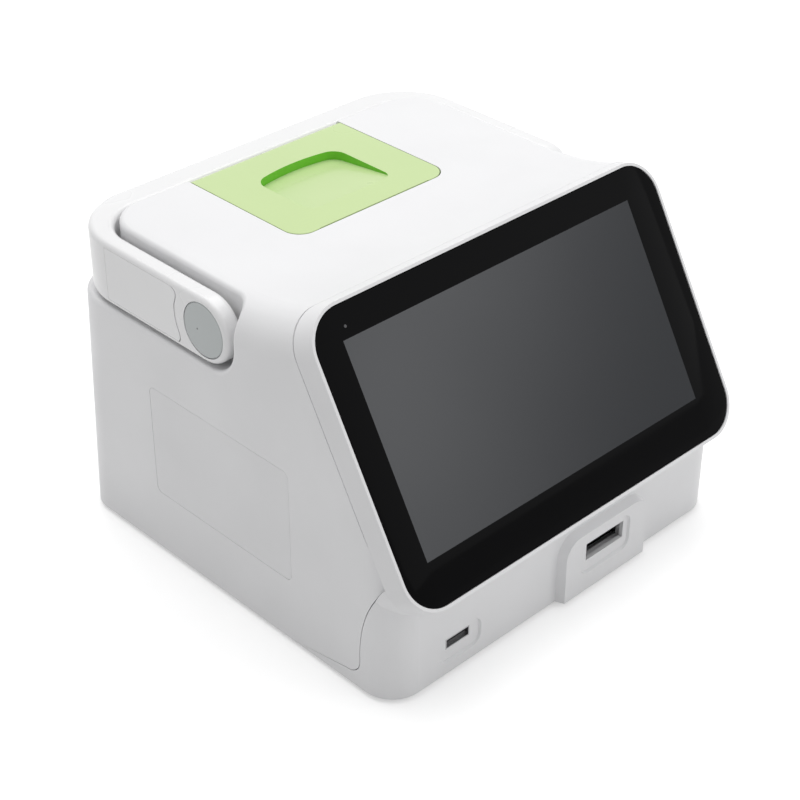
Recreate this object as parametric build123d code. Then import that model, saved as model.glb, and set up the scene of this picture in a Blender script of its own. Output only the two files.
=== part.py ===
"""Desktop rapid test reader: a white two-part casing with a sloping touch display, a swinging carry
handle, a green printer lid, a cassette slot in the front, and the works inside.

Frame: millimetres, +Z up, front towards -Y, origin on the floor under the middle of the object."""
from build123d import *

import os
from math import atan2, cos, pi, radians, sin, sqrt, tan

os.makedirs("parts", exist_ok=True)

# ---- driving sizes -------------------------------------------------------------------------------
WALL = 2.5                    # casing wall
SEAM = 0.35                   # open line between two casing mouldings
FIT = 0.3                     # gap between neighbouring faces that do not move
RUN = 0.05                    # radial clearance of a shaft in its bearing
OFF_CENTRE_X = -2.45          # the display and the printer sit left of the middle

CASE_W = 192.0
FASCIA_Y = -89.5
REAR_Y = 100.7
TOP_Z = 139.9
CASE_BOTTOM_Z = 1.8
FRONT_CORNER_R = 14.0
REAR_CORNER_R = 14.0          # at the floor; the rear corners grow rounder upwards
REAR_CORNER_TOP_R = 27.0
LEG_DEPTH = 16.8              # the front moulding's side at the foot
PARTING_UP = -43.8            # where the side's parting line leaves the bezel, up the slope
PARTING_R = 81.0
PARTING_FOOT_Z = 15.5
TOE_Z = 7.4                   # the front moulding's low strip runs back under the side
TOE_R = 7.5
TOE_REAR_Y = -28.0
TOP_EDGE_R = 15.0
SWEEP_R = 100.0               # the top curves up towards the display with this radius
SWEEP_START_Y = 2.5
RIM_EDGE_R = 2.0              # soft edge round the handle recess

SCREEN_TILT = 60.0            # display plane from the horizontal
SCREEN_Y = -71.0              # centre of the bezel's front
SCREEN_Z = 98.8
RIM_W = 187.0
RIM_H = 118.8
RIM_CORNER_R = 16.0
BEZEL_DEPTH = 8.0
RIM_LAND = 1.2                # white rim outside the glass
GLASS_T = 1.8
GLASS_GAP = 0.2
PANEL_W = 164.9               # 7 inch display module
PANEL_H = 99.0
PANEL_T = 5.7
PANEL_UP = 2.4
BRACKET_T = 1.2
BRACKET_BORDER = 7.0          # beyond the module, left and right
BRACKET_H = 98.0
BRACKET_UP = 6.0
BRACKET_WINDOW_W, BRACKET_WINDOW_H = 90.0, 50.0

RECESS_FRONT_Y = -6.0         # raised top between the handle arms
RECESS_REAR_Y = 84.6
RECESS_FLOOR_Z = 107.5
RECESS_INNER_R = 8.0
RECESS_REAR_R = 17.0

PIVOT_Y = 11.1
PIVOT_Z = 123.0
ARM_END_R = 13.9
ARM_T = 8.0
ARM_GAP = 2.0                 # between an arm and the raised top
GRIP_T = 13.5
HANDLE_INSET = 0.5            # the handle's sides inside the casing's
HANDLE_CORNER_R = 30.0
HANDLE_INNER_R = 20.0
HANDLE_EDGE_R = 2.4
CAP_R = 11.2
CAP_T = 1.2
INLAY_FRONT_Y = 27.0
INLAY_T = 0.9
INLAY_GAP = 0.6               # twice the open line along the inlay's front end
INLAY_WAVE = ((1.0, 2.0), (0.77, -0.4), (0.35, 0.9), (0.09, 1.0), (-0.3, 0.3), (-0.63, -1.1),
              (-0.82, -1.6), (-1.0, -0.6))       # its front end: share of the half height, bow in Y
BUSH_R = 5.0

LID_W = 81.3
LID_FRONT_Y = 16.5
LID_T = 3.0
LID_GAP = 0.4
LID_CORNER_R = 8.0
LID_BARREL_R = 3.8
PIN_R = 1.5
SLIT_W = 59.0
SLIT_D = 0.3
TEAR_BAR_T = 1.0
POCKET_W = 44.0
POCKET_FRONT_Y = 30.0
POCKET_REAR_Y = 66.3
POCKET_D = 3.8
POCKET_BOW = 3.0              # the rear wall bows back by this much
POCKET_REAR_R = 7.0
POCKET_FRONT_R = 4.0

BUMP_X0, BUMP_X1 = -3.5, 45.5
BUMP_TOP_Z = 31.0
BUMP_PROUD = 3.8
BUMP_SLOPE = 1.8
BUMP_CORNER_R = 8.0
SLOT_X = 20.6
SLOT_Z = 20.4
SLOT_W = 22.6
SLOT_H = 8.2
SLOT_DISH = (14.8, 14.0, 9.3, 6.8)       # left, right, below and above the slot's middle
SLOT_LIP = 1.8                # thickness of the slot's edge; the wall steps back behind it
SLOT_STEP = 2.0
PORT_X = -60.1
PORT_Z = 15.4
PORT_W = 13.0
PORT_H = 4.9
PORT_DISH = (10.0, 11.5, 7.8, 4.2)
DISH_D = 1.0
DISH_SLOPE = 1.1
DISH_CORNER_R = 4.0

LABEL_Y0, LABEL_Y1 = -34.8, 47.7
LABEL_Z0, LABEL_Z1 = 31.0, 82.0
LABEL_T = 0.25
LABEL_CORNER_R = 3.0

BASE_T = 3.0
BASE_Z = 2.2
FOOT_R = 7.0
FOOT_T = 4.0
FOOT_INSET_X = 20.0
SPEAKER_INSET_X = 28.0
BOARD_INSET_X = 20.0
PSU_INSET_X = 18.0

REAR_POCKET_X0, REAR_POCKET_X1 = -82.0, 24.0
REAR_POCKET_Z0, REAR_POCKET_Z1 = 13.0, 52.0
REAR_POCKET_D = 3.0
VENT_COUNT, VENT_X0, VENT_PITCH, VENT_W = 8, 34.0, 6.0, 2.6
VENT_Z0, VENT_Z1 = 20.0, 46.0

GEAR_MODULE = 0.6
RACK_MODULE = 0.8
PLATEN_R = 5.0
PLATEN_Y = 23.0
PLATEN_Z = 127.0
PLATEN_W = 58.0
PLATEN_SHAFT_R = 2.0
PLATEN_TEETH, IDLER_TEETH, PINION_TEETH = 24, 30, 12
IDLER_DIRECTION = -114.0      # from the platen's axis, degrees in the YZ plane
PINION_DIRECTION = -84.0     # from the idler's axis
GEAR_T = 4.0
CHEEK_X = 32.0
CHEEK_T = 3.0
MOTOR_R = 10.0
MOTOR_L = 15.0
MOTOR_SHAFT_R = 1.0

ROLL_R = 20.0
ROLL_W = 57.5
ROLL_CORE_R = 6.0
ROLL_Y = 52.5
ROLL_Z = 109.0
BUCKET_T = 1.5

TRAY_LENGTH = 74.1
TRAY_RECESS = 8.0             # how far the tray's front lies inside the slot's mouth
TRAY_GAP = 0.6
CARRIAGE_STROKE = 45.0
ROD_R = 2.0
ROD_OFFSET = 16.0
DRIVE_TEETH = 16

# ---- values worked out from them -----------------------------------------------------------------
TILT = radians(SCREEN_TILT)
HALF_W = CASE_W / 2
HANDLE_HALF_W = HALF_W - HANDLE_INSET
ARM_IN_X = HANDLE_HALF_W - ARM_T
RECESS_HALF_W = ARM_IN_X - ARM_GAP          # raised top between the handle arms
BASE_TOP_Z = BASE_Z + BASE_T
ROOF_Z = TOP_Z - WALL                       # underside of the top
PIN_Y = RECESS_REAR_Y - 0.2 - LID_BARREL_R
PIN_Z = TOP_Z - LID_BARREL_R
ARM_BOTTOM_Z = PIVOT_Z - ARM_END_R
ARM_TOP_Z = PIVOT_Z + ARM_END_R
BUMP_FACE_Y = FASCIA_Y - BUMP_PROUD
ROD_Z = BASE_TOP_Z + 7.1
BIG = 400.0
TO_PRINTER = Pos(OFF_CENTRE_X, 0, 0)        # the printer and its lid are drawn about X = 0


# ---- helpers -------------------------------------------------------------------------------------
def box(x0, x1, y0, y1, z0, z1):
    """A block between two corners."""
    return Pos((x0 + x1) / 2, (y0 + y1) / 2, (z0 + z1) / 2) * Box(x1 - x0, y1 - y0, z1 - z0)


def rod_x(x0, x1, y, z, radius):
    """A round bar along X."""
    return Pos((x0 + x1) / 2, y, z) * Rot(0, 90, 0) * Cylinder(radius, x1 - x0)


def rod_y(x, y0, y1, z, radius):
    """A round bar along Y."""
    return Pos(x, (y0 + y1) / 2, z) * Rot(90, 0, 0) * Cylinder(radius, y1 - y0)


def rod_z(x, y, z0, z1, radius):
    """A round bar along Z."""
    return Pos(x, y, (z0 + z1) / 2) * Cylinder(radius, z1 - z0)


def side_prism(points_yz, x0, x1):
    """A side outline of straight lines, extruded along X."""
    face = make_face(Plane.YZ * Polyline(*points_yz, close=True))
    return Pos(x0, 0, 0) * extrude(face, x1 - x0)


def screen_point(up, out):
    """Side view (Y, Z) of a point on the display plane: up the slope and out of the glass."""
    y = SCREEN_Y + up * cos(TILT) - out * sin(TILT)
    z = SCREEN_Z + up * sin(TILT) + out * cos(TILT)
    return y, z


def screen_plane(out):
    """The display's plane, moved out of the glass (negative: behind it)."""
    y, z = screen_point(0, out)
    return Plane(origin=(0, y, z), x_dir=(1, 0, 0), z_dir=(0, -sin(TILT), cos(TILT)))


def screen_block(width, height, radius, out0, out1, x=0.0, up=0.0):
    """A rounded slab parallel to the glass, from out0 (deeper) to out1."""
    sketch = screen_plane(out0) * Pos(x, up) * RectangleRounded(width, height, radius)
    return extrude(sketch, out1 - out0)


def screw(radius, length, head_r, head_h):
    """A pan-head screw along Z, its head's flat underside at the origin and its shank above it."""
    return rod_z(0, 0, -head_h, 0, head_r) + rod_z(0, 0, 0, length, radius) - Pos(0, 0, -head_h) * Box(
        head_r, 0.8, 1.2)


def group(pieces):
    """Several separate solids in one node."""
    return Compound(children=list(pieces))


def gear_sketch(module, teeth, phase_deg):
    """A gear with straight-flanked teeth and running backlash; one tooth points along phase_deg."""
    pitch_r = module * teeth / 2
    tip_r, root_r = pitch_r + 0.8 * module, pitch_r - 1.25 * module
    half = (pi * module / 4 - 0.1 * module) / pitch_r
    lean = tan(radians(20)) * module / pitch_r
    points = []
    for tooth in range(teeth):
        middle = radians(phase_deg) + 2 * pi * tooth / teeth
        for radius, angle in ((root_r, -half - 1.25 * lean), (tip_r, -half + 0.8 * lean),
                              (tip_r, half - 0.8 * lean), (root_r, half + 1.25 * lean)):
            points.append((radius * cos(middle + angle), radius * sin(middle + angle)))
    return make_face(Polyline(*points, close=True))


def gear_x(module, teeth, phase_deg, x0, x1, y, z, bore_r):
    """A gear that turns about X; phase is measured in the YZ plane."""
    solid = Pos(x0, y, z) * extrude(Plane.YZ * gear_sketch(module, teeth, phase_deg), x1 - x0)
    return solid - rod_x(x0 - 1, x1 + 1, y, z, bore_r)


def mesh_phase(phase, teeth, direction, next_teeth):
    """Phase of the next gear, which lies along direction, so that its gap takes this gear's tooth."""
    pitch = 360 / teeth
    offset = (direction - phase + pitch / 2) % pitch - pitch / 2
    return direction + 180 + offset * teeth / next_teeth + 180 / next_teeth


# ---- casing --------------------------------------------------------------------------------------
def sweep_meets_screen(out, inset):
    """How far up the plane at depth out the curved top is met."""
    y, z = screen_point(0, out)
    qy, qz = y - SWEEP_START_Y, z - (TOP_Z + SWEEP_R)
    along = qy * cos(TILT) + qz * sin(TILT)
    return -along - sqrt(along ** 2 - qy ** 2 - qz ** 2 + (SWEEP_R + inset) ** 2)


def case_profile(inset, bottom_z, front_out):
    """Side outline of the casing behind the bezel."""
    fascia, rear, top = FASCIA_Y + inset, REAR_Y - inset, TOP_Z - inset
    radius = SWEEP_R + inset
    y0, z0 = screen_point(0, front_out)
    fascia_top_z = z0 + (fascia - y0) * tan(TILT)
    crest = screen_point(sweep_meets_screen(front_out, inset), front_out)
    start = (SWEEP_START_Y, top)
    half_turn = atan2(SWEEP_START_Y - crest[0], TOP_Z + SWEEP_R - crest[1]) / 2
    middle = (SWEEP_START_Y - radius * sin(half_turn), TOP_Z + SWEEP_R - radius * cos(half_turn))
    edges = [
        Line(start, (rear, top)), Line((rear, top), (rear, bottom_z)),
        Line((rear, bottom_z), (fascia, bottom_z)), Line((fascia, bottom_z), (fascia, fascia_top_z)),
        Line((fascia, fascia_top_z), crest), ThreePointArc(crest, middle, start)]
    return make_face([Plane.YZ * edge for edge in edges])


def plan_outline(inset, z):
    """Footprint of the casing at a height, with its four rounded corners."""
    half, front, rear = HALF_W - inset, FASCIA_Y + inset, REAR_Y - inset
    rear_r = REAR_CORNER_R + (REAR_CORNER_TOP_R - REAR_CORNER_R) * z / TOP_Z
    sketch = Pos(0, (front + rear) / 2) * Rectangle(2 * half, rear - front)
    sketch = fillet(sketch.vertices().group_by(Axis.Y)[0], FRONT_CORNER_R - inset)
    return fillet(sketch.vertices().group_by(Axis.Y)[-1], rear_r - inset)


def plan_column(inset):
    """The footprint carried up past the top, its rear corners growing rounder."""
    heights = (CASE_BOTTOM_Z - REAR_CORNER_R, TOP_Z + REAR_CORNER_R)
    return loft([Pos(0, 0, z) * plan_outline(inset, z) for z in heights])


def recess_cutter(inset):
    """The U-shaped step that the handle lies in."""
    front, rear = RECESS_FRONT_Y - inset, RECESS_REAR_Y - inset
    half, floor = RECESS_HALF_W - inset, RECESS_FLOOR_Z - inset
    sweep_r = PIVOT_Z - RECESS_FLOOR_Z + inset
    side = Pos((front + BIG) / 2, (floor + BIG) / 2) * Rectangle(BIG - front, BIG - floor)
    corner = side.vertices().sort_by(Axis.X)[0:2].sort_by(Axis.Y)[0]
    cutter = extrude(Plane.YZ * fillet(corner, sweep_r), BIG / 2, both=True)
    core = Pos(0, (rear - BIG) / 2) * Rectangle(2 * half, rear + BIG)
    core += Pos(0, (front - BIG) / 2) * Rectangle(BIG, front + BIG)
    bend = core.vertices().filter_by(lambda v: abs(abs(v.X) - half) < 0.01)
    core = fillet(bend.group_by(Axis.Y)[0], RECESS_INNER_R + inset)
    tail = core.vertices().filter_by(lambda v: abs(v.Y - rear) < 0.01)
    core = fillet(tail, RECESS_REAR_R - inset)
    return cutter - extrude(core, 2 * BIG)


def rear_pocket(inset):
    """The shallow sunk field for the sockets at the rear."""
    return box(REAR_POCKET_X0 - inset, REAR_POCKET_X1 + inset, REAR_Y - REAR_POCKET_D - inset, REAR_Y + BIG,
               REAR_POCKET_Z0 - inset, REAR_POCKET_Z1 + inset)


def case_block(inset, bottom_z, front_out):
    """The casing behind the bezel as a full block, smaller all round by inset."""
    block = extrude(case_profile(inset, bottom_z, front_out), HALF_W - inset, both=True)
    top_edges = block.edges().filter_by(
        lambda e: abs(e.center().X) > HALF_W - inset - 0.1 and e.center().Z > TOP_Z - inset - 0.1)
    block = fillet(top_edges, TOP_EDGE_R - inset)
    block = block & plan_column(inset)
    return block - recess_cutter(inset) - rear_pocket(inset)


def soften_rim(block):
    """Round the edge where the top drops into the handle recess."""
    rim = block.edges().filter_by(
        lambda e: e.bounding_box().min.Z > TOP_Z - TOP_EDGE_R / 2
        and RECESS_FRONT_Y - 3 < e.center().Y < RECESS_REAR_Y + 1
        and (abs(e.center().X) > RECESS_HALF_W - 1 or e.center().Y > RECESS_REAR_Y - 2))
    return fillet(rim, RIM_EDGE_R)


def front_region(gap):
    """Everything in front of the parting line of the side, as a prism; gap widens it."""
    knee = screen_point(PARTING_UP, -BEZEL_DEPTH)
    upright_y, arc_r, toe_r = FASCIA_Y + LEG_DEPTH + gap, PARTING_R + gap, TOE_R - gap
    toe_z, arc_z = TOE_Z + gap, PARTING_FOOT_Z
    y0, z0 = knee[0] + gap, knee[1] + gap
    bulge_z = (z0 + arc_z) / 2
    bulge_y = upright_y - arc_r + sqrt(arc_r ** 2 - (bulge_z - arc_z) ** 2)
    slant = toe_r * (1 - cos(pi / 4))
    edges = [
        Line((-BIG, z0), (y0, z0)),
        ThreePointArc((y0, z0), (bulge_y, bulge_z), (upright_y, arc_z)),
        Line((upright_y, arc_z), (upright_y, toe_z + toe_r)),
        ThreePointArc((upright_y, toe_z + toe_r), (upright_y + slant, toe_z + slant),
                      (upright_y + toe_r, toe_z)),
        Line((upright_y + toe_r, toe_z), (TOE_REAR_Y, CASE_BOTTOM_Z - 1)),
        Line((TOE_REAR_Y, CASE_BOTTOM_Z - 1), (TOE_REAR_Y, -BIG)), Line((TOE_REAR_Y, -BIG), (-BIG, -BIG)),
        Line((-BIG, -BIG), (-BIG, z0))]
    return extrude(make_face([Plane.YZ * edge for edge in edges]), BIG / 2, both=True)


def bezel_ring():
    """The raised frame round the glass: a slab that flares back to the casing."""
    crest = sweep_meets_screen(-BEZEL_DEPTH, 0)
    back = -BEZEL_DEPTH + SEAM
    front = screen_plane(0) * RectangleRounded(RIM_W, RIM_H, RIM_CORNER_R)
    height = crest + RIM_H / 2
    rear = screen_plane(back) * Pos(0, crest - height / 2) * RectangleRounded(CASE_W, height, RIM_CORNER_R)
    lower = screen_block(CASE_W, height, RIM_CORNER_R, back - 2 * BEZEL_DEPTH, back, 0, crest - height / 2)
    return loft([front, rear]), lower


def soft_pad(x0, x1, z0, z1, y_from, y_to, slope, radius):
    """A pad or dish on the fascia whose sides slope; it is widest at y_from."""
    def ring(y, grow):
        plane = Plane(origin=((x0 + x1) / 2, y, (z0 + z1) / 2), x_dir=(1, 0, 0), z_dir=(0, -1, 0))
        return plane * RectangleRounded(x1 - x0 + 2 * grow, z1 - z0 + 2 * grow, radius + grow)
    return loft([ring(y_from, slope), ring(y_to, 0)])


def dish(x, z, reach, face_y):
    """The shallow dish round a mouth in the front; reach is left, right, below and above (x, z)."""
    left, right, below, above = reach
    return soft_pad(x - left, x + right, z - below, z + above, face_y - 1, face_y + DISH_D, DISH_SLOPE,
                    DISH_CORNER_R)


SCREW_R = 1.45
PILOT_R = 1.5
BOSS_R = 4.2
PRINTER_BOSS_R = 3.5
PRINTER_EAR_Z = ROOF_Z - 6.0             # underside of the bosses that carry the printer
LUG_T = 4.0                              # casing lugs beside the lid, which hold its hinge pin
BASE_SCREW_X = HALF_W - 13.0
BASE_SCREWS = [(x, y) for x in (-BASE_SCREW_X, BASE_SCREW_X) for y in (-45.0, 66.0)]
FRONT_SCREW_X = HALF_W - 18.0
FRONT_SCREWS = [(x, FASCIA_Y + WALL + BOSS_R - 0.2) for x in (-FRONT_SCREW_X, FRONT_SCREW_X)]
PRINTER_SCREW_X = LID_W / 2 + 5.35
PRINTER_SCREWS = [(x, y) for x in (-PRINTER_SCREW_X, PRINTER_SCREW_X) for y in (9.0, 60.0)]
DISPLAY_SCREW_X = PANEL_W / 2 + 4.1
DISPLAY_SCREWS = [(OFF_CENTRE_X + side * DISPLAY_SCREW_X, up) for side in (-1, 1) for up in (-30.0, 36.0)]


def front_casing():
    """Bezel, fascia, cassette bump and socket openings in one moulding."""
    hollow = case_block(WALL, CASE_BOTTOM_Z - 1, -BEZEL_DEPTH + 1)
    ring, lower = bezel_ring()
    fascia = (case_block(0, CASE_BOTTOM_Z, -BEZEL_DEPTH + SEAM) + lower) & front_region(0)
    bump = soft_pad(BUMP_X0, BUMP_X1, CASE_BOTTOM_Z - 20, BUMP_TOP_Z, FASCIA_Y + 0.5, BUMP_FACE_Y,
                    BUMP_SLOPE, BUMP_CORNER_R)
    bump -= box(-BIG, BIG, -BIG, BIG, -BIG, CASE_BOTTOM_Z)
    shell = (fascia + bump) - hollow + ring
    for x, y in FRONT_SCREWS:
        shell += rod_z(x, y, BASE_TOP_Z, BASE_TOP_Z + 12, BOSS_R)
        shell -= rod_z(x, y, BASE_TOP_Z - 1, BASE_TOP_Z + 10, PILOT_R)
    glass_w, glass_h = RIM_W - 2 * RIM_LAND, RIM_H - 2 * RIM_LAND
    shell -= screen_block(glass_w, glass_h, RIM_CORNER_R - RIM_LAND, -GLASS_T - GLASS_GAP, 5)
    shell -= screen_block(PANEL_W + 2 * FIT, PANEL_H + 2 * FIT, 1.0, -BEZEL_DEPTH, 5, OFF_CENTRE_X, PANEL_UP)
    for x, up in DISPLAY_SCREWS:
        shell -= screen_block(2 * PILOT_R, 2 * PILOT_R, PILOT_R * 0.999, -BIG, -GLASS_T - 2, x, up)
    shell -= box(SLOT_X - SLOT_W / 2, SLOT_X + SLOT_W / 2, -BIG, FASCIA_Y + 2 * WALL,
                 SLOT_Z - SLOT_H / 2, SLOT_Z + SLOT_H / 2)
    shell -= dish(SLOT_X, SLOT_Z, SLOT_DISH, BUMP_FACE_Y)
    step_w, step_h = SLOT_W / 2 + SLOT_STEP, SLOT_H / 2 + SLOT_STEP
    shell -= box(SLOT_X - step_w, SLOT_X + step_w, BUMP_FACE_Y + DISH_D + SLOT_LIP, FASCIA_Y + 2 * WALL,
                 SLOT_Z - step_h, SLOT_Z + step_h)
    shell -= box(PORT_X - PORT_W / 2, PORT_X + PORT_W / 2, -BIG, FASCIA_Y + 2 * WALL,
                 PORT_Z - PORT_H / 2, PORT_Z + PORT_H / 2)
    return shell - dish(PORT_X, PORT_Z, PORT_DISH, FASCIA_Y)


def main_casing():
    """Sides, top and rear in one moulding, open in front and below."""
    shell = soften_rim(case_block(0, CASE_BOTTOM_Z, -BEZEL_DEPTH))
    shell -= case_block(WALL, CASE_BOTTOM_Z - 1, -BEZEL_DEPTH + 1)
    for x, y in BASE_SCREWS:
        shell += rod_z(x, y, BASE_TOP_Z, BASE_TOP_Z + 30, BOSS_R)
        side = 1 if x > 0 else -1
        shell += box(*sorted((x, side * (HALF_W - WALL / 2))), y - 1.2, y + 1.2, BASE_TOP_Z, BASE_TOP_Z + 30)
        shell -= rod_z(x, y, BASE_TOP_Z - 1, BASE_TOP_Z + 14, PILOT_R)
    for x, y in PRINTER_SCREWS:
        shell += TO_PRINTER * rod_z(x, y, PRINTER_EAR_Z, ROOF_Z + 0.5, PRINTER_BOSS_R)
    lid_half = LID_W / 2 + LID_GAP
    for side in (-1, 1):
        x0, x1 = sorted((side * lid_half, side * (lid_half + LUG_T)))
        shell += TO_PRINTER * box(x0, x1, PIN_Y - LUG_T, RECESS_REAR_Y - WALL / 2, PIN_Z - 4.5, ROOF_Z + 0.5)
    opening = Pos(0, (LID_FRONT_Y - LID_GAP + BIG) / 2) * Rectangle(2 * lid_half, BIG - LID_FRONT_Y + LID_GAP)
    opening = fillet(opening.vertices().group_by(Axis.Y)[0], LID_CORNER_R)
    shell -= TO_PRINTER * Pos(0, 0, PIN_Z - 0.01) * extrude(opening, BIG)
    shell -= TO_PRINTER * rod_x(-lid_half, lid_half, PIN_Y, PIN_Z, LID_BARREL_R + LID_GAP)
    pin_reach = lid_half + LUG_T - 0.8
    shell -= TO_PRINTER * rod_x(-pin_reach, pin_reach, PIN_Y, PIN_Z, PIN_R + RUN)
    slit_y = LID_FRONT_Y - LID_GAP
    bar_slot = box(-SLIT_W / 2, SLIT_W / 2, slit_y - TEAR_BAR_T - 0.3, slit_y, ROOF_Z - 1, TOP_Z - 1.2)
    shell -= TO_PRINTER * bar_slot
    for side in (-1, 1):
        shell -= rod_x(*sorted((side * (RECESS_HALF_W - 2 * WALL), side * (HALF_W + 1))), PIVOT_Y, PIVOT_Z,
                       BUSH_R + RUN)
    for x, y in PRINTER_SCREWS:
        shell -= TO_PRINTER * rod_z(x, y, PRINTER_EAR_Z - 1, ROOF_Z - 1, PILOT_R)
    label = box(-BIG, -HALF_W + LABEL_T + 0.05, LABEL_Y0, LABEL_Y1, LABEL_Z0, LABEL_Z1)
    shell -= fillet(label.edges().filter_by(Axis.X), LABEL_CORNER_R)
    for cut in rear_openings():
        shell -= cut
    for i in range(VENT_COUNT):
        x = VENT_X0 + i * VENT_PITCH
        shell -= box(x, x + VENT_W, REAR_Y - 2 * WALL, REAR_Y + 1, VENT_Z0, VENT_Z1)
    return shell & main_region()


def main_region():
    """What lies behind the parting line."""
    full = box(-BIG, BIG, -BIG, BIG, -BIG, BIG)
    return full - front_region(SEAM)


def base_plate():
    """Floor of the unit, with seats for its feet and counterbores for the screws."""
    plate = Pos(0, 0, BASE_Z) * extrude(plan_outline(WALL + FIT, BASE_TOP_Z), BASE_T)
    for x, y in BASE_SCREWS + FRONT_SCREWS:
        plate -= rod_z(x, y, BASE_Z - 1, BASE_TOP_Z + 1, SCREW_R + 0.2)
        plate -= rod_z(x, y, BASE_Z - 1, BASE_Z + 1.6, 3.2)
    for x, y in FEET:
        plate -= rod_z(x, y, BASE_Z - 1, FOOT_T, FOOT_R + 0.1)
    for i in range(7):
        angle = 2 * pi * i / 6
        reach = 0 if i == 6 else 7.0
        plate -= rod_z(SPEAKER_X + reach * cos(angle), SPEAKER_Y + reach * sin(angle), 0, BASE_TOP_Z + 1, 1.5)
    return plate


FOOT_X = HALF_W - FOOT_INSET_X
FEET = [(x, y) for x in (-FOOT_X, FOOT_X) for y in (-68.0, 82.0)]
SPEAKER_X, SPEAKER_Y, SPEAKER_R, SPEAKER_H = HALF_W - SPEAKER_INSET_X, 20.0, 14.0, 5.5


def rubber_feet():
    """Four round feet pressed into the base."""
    return group(rod_z(x, y, 0, FOOT_T, FOOT_R) for x, y in FEET)


def base_screws():
    """Screws from below into both mouldings."""
    return group(Pos(x, y, BASE_Z + 1.6) * screw(SCREW_R, 11, 2.8, 1.5)
                 for x, y in BASE_SCREWS + FRONT_SCREWS)


# ---- display -------------------------------------------------------------------------------------
def cover_glass():
    """Touch glass, a hair below the rim."""
    gap = 0.15
    return screen_block(RIM_W - 2 * RIM_LAND - 2 * gap, RIM_H - 2 * RIM_LAND - 2 * gap,
                        RIM_CORNER_R - RIM_LAND - gap, -GLASS_T - GLASS_GAP, -GLASS_GAP)


def display_panel():
    """The display module behind the glass."""
    top = -GLASS_T - GLASS_GAP
    return screen_block(PANEL_W, PANEL_H, 0.8, top - PANEL_T, top, OFF_CENTRE_X, PANEL_UP)


def display_bracket():
    """Sheet that clamps the module against the bezel."""
    top = -BEZEL_DEPTH
    width = PANEL_W + 2 * BRACKET_BORDER
    plate = screen_block(width, BRACKET_H, 9.0, top - BRACKET_T, top, OFF_CENTRE_X, BRACKET_UP)
    plate -= screen_block(BRACKET_WINDOW_W, BRACKET_WINDOW_H, 3.0, top - 5, top + 1, 0, BRACKET_UP + 4)
    for x, up in DISPLAY_SCREWS:
        plate -= screen_block(3.4, 3.4, 1.69, top - 5, top + 1, x, up)
    return plate


def display_screws():
    """Screws through the bracket into the bezel."""
    pieces = []
    for x, up in DISPLAY_SCREWS:
        y, z = screen_point(up, -BEZEL_DEPTH - BRACKET_T)
        plane = Plane(origin=(x, y, z), x_dir=(1, 0, 0), z_dir=(0, -sin(TILT), cos(TILT)))
        pieces.append(plane.location * screw(SCREW_R, 5, 2.4, 1.6))
    return pieces


def display_driver_board():
    """Driver board on the back of the bracket."""
    top = -BEZEL_DEPTH - BRACKET_T
    board = screen_block(70, 40, 1.0, top - 5.6, top - 4, -30, 8.0)
    board += screen_block(14, 14, 0.5, top - 7, top - 5.5, -40, 8.0)
    board += screen_block(22, 5, 0.5, top - 9, top - 5.5, -14, 14.0)
    for x in (-60, 0):
        for up in (-8, 24):
            board += screen_block(4, 4, 1.9, top - 4.5, top, x, up)
    return board


# ---- handle --------------------------------------------------------------------------------------
def handle_outline(grow):
    """Plan of the U of the handle; grow widens it."""
    half, rear = HANDLE_HALF_W + grow, REAR_Y
    outer = Pos(0, (PIVOT_Y - 60 + rear) / 2) * Rectangle(2 * half, rear - PIVOT_Y + 60)
    outer = fillet(outer.vertices().group_by(Axis.Y)[-1], HANDLE_CORNER_R)
    inner_rear = rear - GRIP_T
    inner = Pos(0, (inner_rear - BIG) / 2) * Rectangle(2 * ARM_IN_X, inner_rear + BIG)
    inner = fillet(inner.vertices().group_by(Axis.Y)[-1], HANDLE_INNER_R)
    return outer - inner


def arm_side():
    """Side outline of an arm: round about the pivot, straight to the rear."""
    nose = Pos(PIVOT_Y, PIVOT_Z) * Circle(ARM_END_R)
    rest = Pos((PIVOT_Y + BIG) / 2, PIVOT_Z) * Rectangle(BIG - PIVOT_Y, 2 * ARM_END_R)
    return nose + rest


def carry_handle():
    """U-shaped handle with seats for the pivot caps and the inlays."""
    body = extrude(handle_outline(0), BIG) & extrude(Plane.YZ * arm_side(), BIG / 2, both=True)
    outer = body.edges().filter_by(
        lambda e: abs(e.center().X) > HANDLE_HALF_W - 0.1 or e.center().Y > REAR_Y - 0.1
        or (abs(e.center().X) > ARM_IN_X + 1 and e.center().Y > REAR_Y - HANDLE_CORNER_R + 1))
    body = fillet(outer, HANDLE_EDGE_R)
    inner = body.edges().filter_by(
        lambda e: e.center().Z > ARM_TOP_Z - 0.01 and e.center().Y > PIVOT_Y
        and abs(e.center().X) < ARM_IN_X + 0.01)
    body = fillet(inner, HANDLE_EDGE_R)
    for side in (-1, 1):
        outside = side * HANDLE_HALF_W
        body -= rod_x(*sorted((outside + side, outside - side * CAP_T)), PIVOT_Y, PIVOT_Z, CAP_R + FIT)
        body -= rod_x(*sorted((outside + side, side * (ARM_IN_X - 1))), PIVOT_Y, PIVOT_Z, BUSH_R)
        body -= inlay(side, INLAY_GAP / 2)
    return body


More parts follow.
